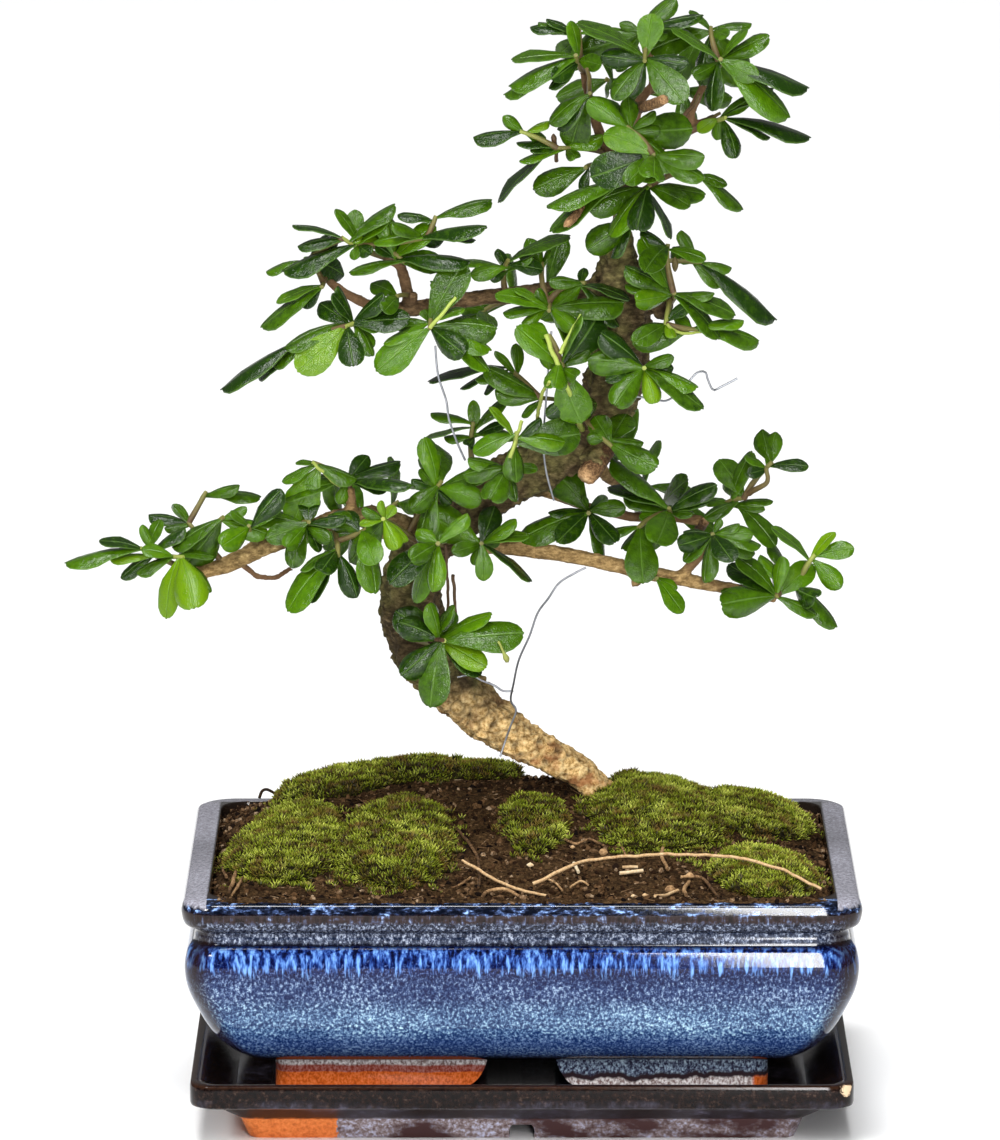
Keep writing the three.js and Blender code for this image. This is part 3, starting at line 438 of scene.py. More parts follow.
under_look = Finish("Leaf underside", Roughness=0.55)
under_tone = under_look.attribute("tone")
under_side = abs(under_look.xyz(under_look.attribute("blade_place", "Vector"))[0])
# The underside follows the same tones, with their painted shade and painted light.
under_green = under_look.ramp(under_tone, [
    (0.0, (0.05, 0.092, 0.022)),
    (0.6, (0.095, 0.17, 0.032)),
    (1.0, (0.2, 0.32, 0.04)),
])
under_rib = under_look.between(under_side, 0.03, 0.12, 0.6, 0.0)
under_look.set("Base Color", under_look.mix(under_rib, under_green, (0.2, 0.28, 0.1, 1)))
under_look.bump(under_look.noise(under_look.place(), 1800, 2), 0.1, 0.5)

stem_look = Finish("Green and brown shoots", Roughness=0.55, Specular_IOR_Level=0.3)
fleck = stem_look.noise(stem_look.place(), 900, 4, 0.7)
old_stem = stem_look.mix(fleck, (0.018, 0.01, 0.005, 1), (0.13, 0.072, 0.03, 1))
young_stem = stem_look.mix(fleck, (0.2, 0.26, 0.04, 1), (0.33, 0.4, 0.08, 1))
stem_look.set("Base Color", stem_look.mix(stem_look.attribute("tone"), old_stem, young_stem))
stem_look.bump(fleck, 0.25, 0.6)
print("tones of the leaves:", LEAF_TONES_WITH_PAINTED_LIGHT)

# %% [markdown]
# A blade starts as a flat plate. Its outline comes from a curve, its end drops away in three
# blunt teeth, and a rib, a cup and a ripple make its section. All of them are sums of simple
# formulas in u (across the blade) and v (along it), so they cost nothing to change.

# %% The tree of nodes that grows a spray
# Half the width of a blade along its length, both as shares.
BLADE_OUTLINE = [
    (0.0, 0.035), (0.1, 0.105), (0.25, 0.255), (0.4, 0.385), (0.55, 0.475), (0.66, 0.498),
    (0.77, 0.475), (0.87, 0.4), (0.95, 0.28), (1.0, 0.13),
]
CURVE_RANGE = 0.5  # a float curve runs from 0 to 1, so the outline is doubled in it
END_DROP = 0.02  # share of the length by which the end is shorter beside the midrib

w, given, result = new_tree(
    "Leafy spray",
    Blade_columns=5, Blade_rows=8, Blade_thickness=0.4 * MM, Rib_depth=0.07,
    Stem_sides=6, Upper_side="", Underside="", Stem="",
)


def named(name, kind="FLOAT"):
    """Reads a value that was stored under a name, in the tree that is being built."""
    return w.out("GeometryNodeInputNamedAttribute", name, data_type=kind)


# A flat plate, one unit long, which remembers where each of its points lay.
plate = w.out("GeometryNodeMeshCube", {
    "Size": (2.0, 1.0, 1.0), "Vertices X": given["Blade columns"],
    "Vertices Y": given["Blade rows"], "Vertices Z": 2}, output="Mesh")
shifted = w.out("GeometryNodeSetPosition", plate, None, None, (0.0, 0.5, 0.0))
marked = w.mark(shifted, "blade_place", w.out("GeometryNodeInputPosition"), kind="FLOAT_VECTOR")
faces_down = w.xyz(w.out("GeometryNodeInputNormal"))[2] < -0.5
marked = w.mark(marked, "underneath", faces_down, "FACE")
has_blade = named("blade_length") > 0.0
blades = w.real(w.out("GeometryNodeInstanceOnPoints", given["Geometry"], has_blade, marked))

# Across the blade, along it and through it.
place_on_blade = named("blade_place", "FLOAT_VECTOR")
u, even_v, s = w.xyz(place_on_blade)
v = 1.0 - (1.0 - even_v) ** 1.5
length = named("blade_length")
width = named("blade_width")
along_blade = named("blade_along", "FLOAT_VECTOR")
face_of_blade = named("blade_face", "FLOAT_VECTOR")
across_blade = w.vector("CROSS_PRODUCT", along_blade, face_of_blade)
outline = w.add("ShaderNodeFloatCurve", 1.0, v)
points = outline.mapping.curves[0].points
for spot, half in BLADE_OUTLINE[1:-1]:
    points.new(spot, half / CURVE_RANGE)
points[0].location = (0.0, BLADE_OUTLINE[0][1] / CURVE_RANGE)
points[len(points) - 1].location = (1.0, BLADE_OUTLINE[-1][1] / CURVE_RANGE)
outline.mapping.update()
half_width = Value(w, outline.outputs[0]) * CURVE_RANGE

u_squared = u * u
lobes = w.math("COSINE", u * (2 * math.pi))
notch = named("blade_tooth") * (1.0 - lobes)
shorter = u_squared * END_DROP + notch
near_end = v ** 4.0
reach = v * (1.0 - shorter * near_end)
hump = v * (1.0 - v)
arch = hump * named("blade_arch") * length
bend = hump * named("blade_bend") * length
rib = w.math("EXPONENT", abs(u) * -6.0) * given["Rib depth"]
cup = u_squared * named("blade_cup")
ripple = w.math("SINE", v * 11.0 + named("blade_ripple")) * (u_squared * 0.035)
section = (ripple - (rib + cup)) * width * half_width * 2.0
lift = arch + section + s * given["Blade thickness"]
sideways = u * half_width * width + bend

# Where each point goes from the leaf's foot: along, across and up.
foot = w.vector("SUBTRACT", w.out("GeometryNodeInputPosition"), place_on_blade)
spot = w.vector("ADD", foot, w.vector("SCALE", along_blade, reach * length))
spot = w.vector("ADD", spot, w.vector("SCALE", across_blade, sideways))
spot = w.vector("ADD", spot, w.vector("SCALE", face_of_blade, lift))
blades = w.out("GeometryNodeSetPosition", blades, None, spot)
blades = w.smooth(blades)
fold = w.out("GeometryNodeInputMeshEdgeAngle")
blades = w.out("GeometryNodeSetShadeSmooth", blades, fold > 1.0, False, domain="EDGE")

shoots = w.out("GeometryNodeMeshToCurve", given["Geometry"])
tubes = w.mark(w.tubes(shoots, given["Stem sides"]), "woody", 1.0, "FACE")
whole = w.paint(w.real(blades, tubes), given["Upper side"])
whole = w.paint(whole, given["Underside"], named("underneath"))
whole = w.paint(whole, given["Stem"], named("woody"))
w.plug(whole, result[0])
spray_nodes = w
print("spray tree:", len(w.tree.nodes), "nodes")

# %% [markdown]
# ### Where every leaf sits
#
# Each spray grows from its root on a limb. A shoot ends at its point. It forks off the first
# shoot, or goes on from the shoot that is counted to. A leaf is written as (across, up, width,
# tone): how far its tip is from the shoot's end as seen from the front, how wide it looks, and
# whether it looks dark, middling, bright, pale or yellow-green. Yellow-green is the young leaves'
# own colour. Dark, middling and bright hold the leaves' own shades and also painted shade and
# painted light, as each leaf was lit, and pale is a painted sheen. Tones in small letters are the
# smallest leaves, which the solids leave out.

# %% Sprays
def rows_of(text):
    """Rows of numbers and letters, from a text in which semicolons part the rows."""
    return [
        [word if word.isalpha() else float(word) for word in row.split()]
        for row in text.split(";") if row]


# name: (root, shoots), and for each shoot (its end, the shoot that it goes on from, its leaves)
SPRAYS = {
    "left_tip": ((-128, -15, 200), [
        ((-141, -18, 207), None, "-29 -5 3 P; -16 3 4 D; 7 11 5 M; 16 8 3 D; -8 -11 5 D; "
         "-12 -4 3 y"),
        ((-126, -24, 205), None, "5 -19 13 Y; -6 -23 8 Y; 11 -13 5 M; 12 0 3 m"),
    ]),
    "left_tip_upper": ((-110, -15, 200), [
        ((-124, -8, 215), None, "-15 3 4 D; -9 -2 3 m"),
        ((-111, -20, 219), None, "-19 -11 6 M; 9 4 4 p"),
        ((-118, -2, 225), 0, "21 -1 4 M; 13 3 4 M"),
    ]),
    "left_mid": ((-97, -14, 207), [
        ((-101, -22, 216), None, "-10 -7 9 B; 10 7 5 m; -7 6 3 m"),
    ]),
    "left_mid_inner": ((-82, -12, 212), [
        ((-79, -24, 218), None, "-16 -6 8 M; 0 11 9 D; 14 2 4 D; -8 -9 7 P; -20 3 7 M; 8 -7 6 m"),
    ]),
    "left_low_top": ((-64, -12, 229), [
        ((-65, -12, 232), None, "20 7 5 D; 15 -4 5 D; -24 -7 4 M; 25 -2 2 D; -3 -9 5 b"),
        ((-77, -16, 239), 0, "16 -6 5 M; -12 -7 4 P; -7 0 2 m"),
    ]),
    "left_low_young": ((-39, -2, 207), [
        ((-51, -34, 221), None, "5 -11 7 Y; -9 -2 3 y; 4 5 4 y; -1 7 3 y; -8 4 4 m"),
    ]),
    "left_low_under": ((-71, -11, 216), [
        ((-68, -30, 207), None, "-19 -21 10 B; 7 -16 8 D; -6 -6 8 D; -14 -6 3 M"),
        ((-58, -27, 216), None, "4 -24 9 B; 4 -13 10 B; -7 7 6 d"),
    ]),
    "fork_left": ((-42, -3, 210), [
        ((-30, -18, 232), None, "-3 15 13 M; -11 -10 8 M; 15 -7 9 B; -11 1 4 d"),
    ]),
    "fork_front": ((-32, 4, 206), [
        ((-31, -34, 212), None, "11 11 5 B; -10 -6 8 M; -2 -18 7 B; -9 -22 7 B; -8 5 6 b; "
         "3 3 4 m"),
    ]),
    "fork_right": ((-16, 0, 205), [
        ((-15, -18, 209), None, "1 -14 7 B; 19 -14 3 D; 13 9 5 B; -11 -3 6 m; 7 1 5 m"),
    ]),
    "low_front": ((-39, 0, 169), [
        ((-29, -32, 175), None, "30 3 12 M; -5 -25 12 M; -16 -13 10 D; -17 7 10 D; -5 14 6 B; "
         "16 -10 9 Y; 14 -13 7 D; 4 13 3 M"),
    ]),
    "mid_left": ((-8, 8, 226), [
        ((-5, -24, 239), None, "-17 -3 7 M; -7 -12 10 M; 3 -13 4 M; 11 -1 4 m"),
        ((-2, -28, 252), 0, "-16 -7 7 B; 18 -3 7 B; -10 10 3 Y; 9 6 4 d"),
    ]),
    "mid_left_back": ((-16, 9, 221), [
        ((-18, 6, 250), None, "-16 4 3 P; -19 -6 2 P; 12 10 4 M; 16 -5 4 M; -11 -5 3 m; "
         "-2 -8 5 d"),
    ]),
    "mid_upper_left": ((28, 3, 253), [
        ((7, -14, 263), None, "-17 3 7 M; -7 -7 3 m"),
        ((-5, -4, 273), 0, "-30 -5 3 D; -18 -8 2 D; -9 -10 3 D; -12 -5 4 M; 3 9 5 m; -5 6 3 m"),
    ]),
    "mid_top": ((9, 4, 300), [
        ((10, -20, 297), None, "-20 6 6 B; 28 3 9 M; -17 -1 4 P; 9 -7 7 B; -4 8 4 m; -10 -5 4 b"),
        ((8, 0, 311), None, "-9 4 3 P; 2 6 2 m"),
        ((23, -14, 306), None, "-13 1 5 M; 0 6 4 d"),
    ]),
    "mid_right_front": ((26, 4, 247), [
        ((19, -30, 265), None, "9 -1 10 M; -10 -6 6 d"),
        ((14, -32, 280), 0, "-2 -10 9 B; 8 17 1 M; 6 -6 6 m"),
        ((10, -32, 289), 1, "-11 4 9 B"),
        ((33, -30, 248), None, "-6 11 9 M; 6 12 10 M; 17 -8 10 M; 12 1 4 m; -9 3 5 m"),
    ]),
    "high_mid": ((-34, 1, 295), [
        ((-34, -24, 291), None, "-20 -16 12 B; 25 0 10 M; 13 -10 10 D; 13 24 13 M; 22 -16 6 B; "
         "-2 7 5 m"),
    ]),
    "high_left_end": ((-73, 2, 306), [
        ((-74, -8, 304), None, "-23 -15 6 M; -7 -8 5 d"),
        ((-77, 0, 311), None, "8 5 2 M; -4 3 5 b; -6 -1 3 b"),
    ]),
    "high_riser": ((-51, -2, 314), [
        ((-66, -8, 322), None, "-19 5 2 D; -17 -3 4 D; 19 13 4 M; 15 2 8 Y; -23 -12 5 D; "
         "-3 11 4 m; 10 -6 6 d"),
        ((-80, -4, 313), 0, "-15 -4 3 P"),
        ((-44, -12, 314), None, "-20 -4 4 M; -1 10 7 D; 25 0 4 D; -10 6 5 d"),
        ((-35, -12, 323), None, "-20 -2 4 B; -13 5 4 M; 18 -1 3 D; 22 4 3 D; 6 -1 6 d"),
        ((-32, -10, 330), 3, "21 7 5 M; -14 1 4 D"),
    ]),
    "high_left_low": ((-54, 4, 294), [
        ((-65, -20, 291), None, "-18 -17 13 Y; 3 -15 10 D; -10 9 9 D; 24 3 9 D; -5 12 4 D; "
         "10 -8 5 m"),
        ((-81, -10, 284), 0, "-31 -18 3 D; -17 -14 4 D; -4 -2 5 d"),
    ]),
    "high_mid_left": ((-42, 0, 299), [
        ((-46, -12, 301), None, "-10 5 7 M; -5 -6 7 M"),
    ]),
    "high_mid_top": ((-6, 4, 299), [
        ((-5, -6, 313), None, "23 10 5 M; 13 -3 6 D; -14 -5 6 B; -19 1 3 B; -4 5 4 d; 9 2 3 m"),
    ]),
    "right_high_mid": ((55, 14, 213), [
        ((55, 0, 219), None, "-21 19 5 M; -23 8 5 D; -5 -13 13 P; 18 9 7 D; -17 4 3 M; 9 -2 3 m"),
        ((44, -6, 213), None, "1 -21 13 M; -15 -4 4 M"),
    ]),
    "right_high_base": ((25, 18, 216), [
        ((25, 2, 217), None, "-26 -10 10 M; -12 -11 9 D; 10 -11 8 D; 14 2 7 M; 6 -17 3 M; "
         "-2 6 2 m"),
    ]),
    "right_low_hang": ((48, -10, 196), [
        ((50, -18, 196), None, "10 -13 7 B"),
    ]),
    "right_fork_tip": ((71, -13, 211), [
        ((71, -16, 212), None, "-13 -4 8 D; 7 -10 9 D; 18 -4 4 P; 16 -7 6 P; -11 1 3 d; 3 6 3 m; "
         "10 4 3 m"),
    ]),
    "right_tip_up": ((68, 12, 212), [
        ((83, 4, 222), None, "-9 15 10 M; -6 9 8 M; -15 -7 5 M; 12 -18 8 M; -14 0 4 P; "
         "11 -1 3 m"),
        ((93, 0, 236), 0, "-3 13 8 M; 14 -1 5 D; -10 3 3 p; -9 -4 5 d"),
    ]),
    "right_tip": ((93, -8, 187), [
        ((95, -12, 188), None, "2 15 6 B; -15 15 7 M; -18 12 8 D; -21 -3 12 P; 15 -7 5 M"),
        ((103, -4, 190), 0, "15 -15 5 M; 6 -4 9 D; -9 17 4 M"),
        ((109, -6, 202), 1, "15 3 7 B; 10 -12 8 B; -16 11 4 P"),
    ]),
    "trunk_right_mid": ((42, -4, 275), [
        ((45, -36, 278), None, "-21 3 10 M; -11 -14 10 M; 22 -15 7 M; 4 -13 7 Y; 11 0 6 d"),
    ]),
    "trunk_right_high": ((53, -5, 297), [
        ((56, -24, 304), None, "23 -8 7 M; 17 -17 6 M; -18 10 7 M; -14 -3 8 B"),
        ((54, -20, 321), 0, "-9 -10 10 M; -10 6 4 d"),
        ((53, -28, 293), None, "-12 -7 8 M; 3 -5 4 y; 9 7 5 d"),
        ((64, -26, 291), 2, "24 -4 7 P"),
    ]),
    "trunk_right_top": ((40, 2, 309), [
        ((66, -2, 312), None, "29 -21 4 D; -7 12 5 P; 8 -9 6 b; -7 2 3 m"),
    ]),
    "crown_front": ((44, 5, 350), [
        ((48, -34, 357), None, "-18 8 10 B; 0 -9 10 P; 19 -1 8 P; 19 -9 7 P; -10 -11 8 M"),
        ((39, -28, 366), 0, "-15 10 9 B; 12 -1 6 m"),
    ]),
    "crown_low": ((36, 2, 336), [
        ((47, -22, 344), None, "-15 -19 7 B; -5 -17 10 D; 15 -8 7 M; 21 -3 7 M; 8 -20 3 D"),
        ((39, -22, 347), None, "-29 -20 7 M; -30 -11 4 M"),
        ((65, -8, 346), 0, "17 -13 5 M"),
        ((41, -16, 329), None, "-17 -10 11 M"),
    ]),
    "crown_left_low": ((31, 0, 353), [
        ((13, -10, 356), None, "-22 -20 4 D; -15 2 2 D; 17 5 5 B; -10 -1 3 d; 7 -4 5 m"),
        ((0, -10, 362), 0, "-18 -2 5 D; 10 4 3 y"),
    ]),
    "crown_left_mid": ((33, 1, 346), [
        ((24, -12, 349), None, "-20 -8 10 M"),
    ]),
    "crown_left_high": ((25, -4, 371), [
        ((25, -16, 377), None, "-15 -11 7 M; -12 -13 4 D; 12 -7 5 M"),
    ]),
    "crown_left_top": ((23, -6, 384), [
        ((20, -16, 391), None, "-24 -1 5 M; -25 -11 5 M; -29 -8 3 P; -2 13 5 B; 9 -4 7 P; "
         "-9 -9 7 D; -10 -12 4 D"),
        ((21, -4, 399), None, "-18 1 4 D; 15 -1 4 P; -12 4 3 d"),
    ]),
    "crown_mid_top": ((47, 0, 393), [
        ((45, -30, 391), None, "-16 2 8 D; -12 -14 8 M; -6 -13 7 D; 14 -16 12 M; 16 -1 7 D; "
         "-25 14 6 M"),
        ((44, -6, 400), None, "13 11 7 M; 23 5 4 D; -8 2 4 m; 10 -2 4 m"),
    ]),
    "crown_right_top": ((72, 2, 385), [
        ((73, -18, 390), None, "14 -7 8 P; 26 -21 10 B; 33 -10 5 D; -18 12 4 P; -3 -19 7 D; "
         "18 9 7 M; -10 -6 6 m"),
        ((70, 0, 399), None, "15 2 3 M; 6 -3 5 m; -8 7 3 m"),
    ]),
    "crown_right_end": ((69, 6, 364), [
        ((75, -8, 367), None, "32 -7 4 D; 17 -7 2 D; 4 -15 7 D; 18 11 3 D; -10 -5 5 y; 10 7 5 m"),
    ]),
}
INNER_LEAVES = {
    "crown_front": "0 -23 -8 14 D; 1 0 12 7 M; 1 10 6 4 M; 1 18 -15 8 M; 1 24 0 14 M",
    "crown_left_high": "0 -7 -20 12 M",
    "crown_left_low": "0 -14 -5 3 B; 1 -7 6 5 P; 1 9 -2 5 P",
    "crown_left_mid": "0 -2 -9 4 D",
    "crown_left_top": "1 -15 3 3 M; 1 -8 -9 7 M; 1 -3 -15 5 B",
    "crown_low": "0 -23 -8 11 M; 1 12 0 4 B; 2 11 -4 4 M; 3 -8 -13 3 D",
    "crown_mid_top": "0 3 18 10 B; 1 -23 -8 14 M; 1 -9 -16 6 M",
    "crown_right_end": "0 -3 -8 5 B",
    "crown_right_top": "0 10 11 3 P; 1 -23 -8 11 M; 1 -4 -21 9 D; 1 12 -21 14 B",
    "fork_front": "0 -18 -15 11 D; 0 0 -15 5 M",
    "fork_left": "0 -8 -23 8 M; 0 -8 5 4 M; 0 -6 17 8 B; 0 4 -8 5 D; 0 18 3 6 M",
    "fork_right": "0 -21 12 14 B; 0 -3 -8 4 M; 0 5 14 9 D; 0 18 3 4 B",
    "high_left_end": "0 -17 -6 4 B",
    "high_left_low": (
        "0 -23 -8 5 M; 0 -3 15 3 D; 0 10 -11 5 M; 0 12 -2 4 M; 0 14 12 6 D; 1 -11 -10 3 M"),
    "high_mid": "0 -17 -6 4 B; 0 -12 0 7 M; 0 13 7 3 B; 0 23 -8 5 B",
    "high_mid_top": "0 -7 -6 4 D",
    "high_riser": (
        "0 4 -8 4 M; 0 4 11 7 P; 0 18 10 5 B; 1 11 10 7 D; 1 14 -5 9 D; 2 -6 17 8 B; 2 12 14 8 B; "
        "2 15 0 9 M"),
    "left_low_top": "0 -21 0 5 P; 0 8 9 7 D; 1 -8 -23 14 B",
    "left_low_under": "0 -11 -18 7 D; 1 -14 5 9 M",
    "left_low_young": "0 -13 -16 12 M; 0 9 -8 4 Y",
    "left_mid": "0 12 14 8 D",
    "left_mid_inner": "0 -6 -17 8 M; 0 4 -11 4 D",
    "left_tip": "0 0 9 4 B; 1 -17 -6 4 M; 1 -15 3 5 B",
    "left_tip_upper": "0 -6 7 4 M; 1 -15 -18 14 M; 1 17 -6 8 B",
    "low_front": "0 -18 11 12 D; 0 2 -12 4 M; 0 4 11 7 M; 0 18 10 5 B",
    "mid_left": "0 -15 3 5 B; 1 0 -18 8 M; 1 24 0 14 M",
    "mid_left_back": "0 0 9 5 B; 0 12 0 4 D",
    "mid_right_front": "1 -16 13 9 B; 1 8 -23 14 B; 1 11 4 4 M; 1 15 18 14 D; 2 0 -12 7 B",
    "mid_top": "0 -13 8 3 B; 0 7 -13 3 B; 1 -6 10 7 P; 2 -16 -13 12 B; 2 13 -16 5 D; 2 17 -6 4 D",
    "mid_upper_left": "0 -21 12 8 M",
    "right_fork_tip": "0 -11 -10 5 M; 0 -3 -18 6 M; 0 15 0 7 P",
    "right_high_base": "0 -15 0 3 D; 0 -15 18 14 M; 0 7 6 5 D",
    "right_high_mid": "0 -18 -15 5 M; 0 -16 13 5 B; 0 -11 -4 4 P; 0 15 3 3 D",
    "right_low_hang": "0 8 -4 4 B",
    "right_tip": "0 -21 4 5 M; 0 14 12 10 B; 1 -14 12 4 B; 2 8 9 4 Y",
    "right_tip_up": "0 3 18 6 M; 0 8 -4 4 M; 1 2 12 7 P",
    "trunk_right_high": (
        "0 -18 3 4 M; 0 -12 21 8 B; 0 15 0 3 P; 1 14 -5 5 P; 3 -24 -4 11 M; 3 -7 6 5 B; "
        "3 18 3 4 B"),
    "trunk_right_mid": "0 -16 13 9 D; 0 -14 -5 5 D; 0 11 4 5 M; 0 20 -7 5 B",
    "trunk_right_top": "0 -10 6 7 M; 0 12 -2 4 B",
}
print("shoots in front:", sum(len(shoots) for _, shoots in SPRAYS.values()))

# %% [markdown]
# The far side isn't in the photo. Four sprays there fill the crown, each with three shoots that
# carry leaves all round. A leaf's reading lacks its depth: a leaf that looks shorter than it is
# wide for must lean towards the viewer or away, and the missing length is its depth.

# %% From a reading to a leaf
BACK_SPRAYS = {
    "back_low": ((-55, 50, 203), [(-62, 60, 202), (-70, 47, 206), (-47, 57, 211)]),
    "back_right": ((41, 49, 219), [(48, 58, 217), (38, 52, 229), (55, 42, 212)]),
    "back_middle": ((0, 44, 291), [(-4, 54, 289), (-15, 42, 286), (12, 48, 296)]),
    "back_crown": ((45, 32, 368), [(46, 42, 370), (32, 32, 376), (60, 30, 372)]),
}
BACK_LEAVES = 3  # on each shoot of a back spray
LEAF_LENGTH = 25  # mm, of a grown leaf
LEAF_SPACING = 1.3  # mm between two leaves of a shoot
TOOTHED_FROM = 20  # mm, the length at which a leaf has clear teeth
ARCH = 0.3  # how far a blade arches, as a share of its length
TWIG_RADIUS = 1.1  # mm
VIEW_TILT = math.radians(10.5)
ACROSS = Vector((1, 0, 0))
UPWARD = Vector((0, math.sin(VIEW_TILT), math.cos(VIEW_TILT)))
NEARER = Vector((0, -math.cos(VIEW_TILT), math.sin(VIEW_TILT)))
# The swings that were tried on every leaf of the solids, in mm and in radians.
DEPTH_STEPS = [0, 3, -3, 6, -6, 9, -9, 12, -12, 16, -16]
TURNS = [0, 0.2, -0.2, 0.4, -0.4]


def draws(seed):
    """A repeatable row of numbers from 0 to 1."""
    state = seed
    while True:
        state = (state * 16807) % 2147483647
        yield state / 2147483647


def leaf_from_reading(across, up, width, random, behind=False):
    """What a leaf lacks in seen length it has in depth."""
    seen = math.hypot(across, up)
    length = max(seen, min(2 * width, LEAF_LENGTH))
    if behind:
        sign = -1
    elif abs(up) > 2:
        sign = -math.copysign(1, up)
    else:
        sign = math.copysign(1, next(random) - 0.5)
    lean = 4 * (next(random) - 0.5)
    depth = sign * math.sqrt(length**2 - seen**2) + lean
    run = across * ACROSS + up * UPWARD + depth * NEARER
    full = max(width, 0.5 * run.length)
    return run, full, min(1, width / full)


def rosette(out, random):
    """Leaves all round the end of a shoot on the far side."""
    side = out.cross(UPWARD).normalized()
    other = out.cross(side)
    leaves = []
    for i in range(BACK_LEAVES):
        turn = (i + 0.5 * next(random)) / BACK_LEAVES * 2 * math.pi
        spread = 0.9 + 0.4 * next(random)
        length = 17 + 6 * next(random)
        run = math.cos(spread) * out
        run += math.sin(spread) * (math.cos(turn) * side + math.sin(turn) * other)
        leaves.append((length * run, 0.5 * length, 0.3 + 0.6 * next(random)))
    return leaves


def face_of(run, shown):
    """The direction that a blade's upper side looks in, when it shows this share of its width."""
    along = run.normalized()
    open_face = (NEARER - along * NEARER.dot(along)).normalized()
    edge = along.cross(open_face)
    turn = math.acos(shown) * (1 if edge.z > 0 else -1)
    return open_face * math.cos(turn) + edge * math.sin(turn)


# %% [markdown]
# The solids were kept clear of each other by swinging a leaf a little forward, back or round
# until it crossed nothing. The same swings are tried here, and the one whose tip meets the
# solid's tip is taken, so every fine leaf lies where its solid lies.


# %% Put the leaves and shoots of a spray on one mesh
def tips_of(node):
    """Finds the points of a node, in millimetres round the pot's middle."""
    mesh = node_copy(node)
    tree = KDTree(len(mesh.vertices))
    for vertex in mesh.vertices:
        tree.insert((vertex.co - CENTRE) / MM, vertex.index)
    tree.balance()
    bpy.data.meshes.remove(mesh)
    return tree


def swung(run, base, corners):
    """The swing of a leaf that the node was built with, and how far its tip is off."""
    best = None
    for turn in TURNS:
        for step in DEPTH_STEPS:
            trial = Quaternion(NEARER, turn) @ (run + step * NEARER)
            miss = abs(corners.find(base + trial)[2] - 0.35)
            if best is None or miss < best[1] - 0.02:
                best = (trial, miss)
    return best if best[1] < 0.25 else (run, None)


class SprayMesh:
    """Collects shoots as chains of edges and leaves as loose points with their numbers."""

    FLOATS = ["blade_length", "blade_width", "blade_arch", "blade_cup", "blade_bend",
              "blade_tooth", "blade_ripple", "tone", "stem_radius"]
    VECTORS = ["blade_along", "blade_face"]

    def __init__(self):
        self.points = []
        self.edges = []
        self.rows = []

    def point(self, at, **values):
        self.points.append(place(*at))
        self.rows.append(values)
        return len(self.points) - 1

    def shoot(self, start, end, radii, tones, random, steps=5):
        """A shoot that bows a little to one side."""
        bow = Vector((next(random) - 0.5, next(random) - 0.5, next(random) - 0.3))
        bow *= 0.16 * (end - start).length
        before = None
        for i in range(steps + 1):
            share = i / steps
            at = start.lerp(end, share) + bow * math.sin(math.pi * share)
            knee = 1 + 0.18 * (next(random) - 0.4)
            radius = (radii[0] + (radii[1] - radii[0]) * share) * knee
            tone = tones[0] + (tones[1] - tones[0]) * share
            here = self.point(at, stem_radius=radius * MM, tone=tone)
            if before is not None:
                self.edges.append((before, here))
            before = here

    def leaf(self, base, run, width, shown, tone, random):
        length = run.length
        self.point(
            base,
            blade_length=length * MM,
            blade_width=width * MM,
            blade_along=run.normalized(),
            blade_face=face_of(run, shown),
            blade_arch=ARCH * (0.8 + 0.4 * next(random)),
            blade_cup=0.02 + 0.38 * next(random),
            blade_bend=0.24 * (next(random) - 0.5),
            blade_tooth=0.009 if length >= TOOTHED_FROM else 0.002,
            blade_ripple=6.28 * next(random),
            tone=tone + 0.12 * (next(random) - 0.5),
        )

    def mesh(self, name):
        mesh = bpy.data.meshes.new(name)
        mesh.from_pydata(self.points, self.edges, [])
        for title in self.FLOATS:
            values = [row.get(title, 0.0) for row in self.rows]
            mesh.attributes.new(title, "FLOAT", "POINT").data.foreach_set("value", values)
        for title in self.VECTORS:
            flat = [c for row in self.rows for c in row.get(title, (0, 0, 0))]
            mesh.attributes.new(title, "FLOAT_VECTOR", "POINT").data.foreach_set("vector", flat)
        return mesh


BLADE_GAP = 0.4  # mm, a shoot starts this far clear of its limb
wood_copy = node_copy("trunk_and_branches")
wood_shell = bmesh.new()
wood_shell.from_mesh(wood_copy)
wood_finder = BVHTree.FromBMesh(wood_shell)


def clear_start(root, at):
    """Where a spray's first shoot first stands clear of the wood that carries it."""
    steps = math.ceil((root - at).length / BLADE_GAP)
    for i in range(steps):
        here = root.lerp(at, i / steps)
        nearest, normal, _, distance = wood_finder.find_nearest(place(*here))
        outside = (place(*here) - nearest).dot(normal) > 0
        if outside and distance > (TWIG_RADIUS + BLADE_GAP) * MM * 0.6:
            return here
    return root


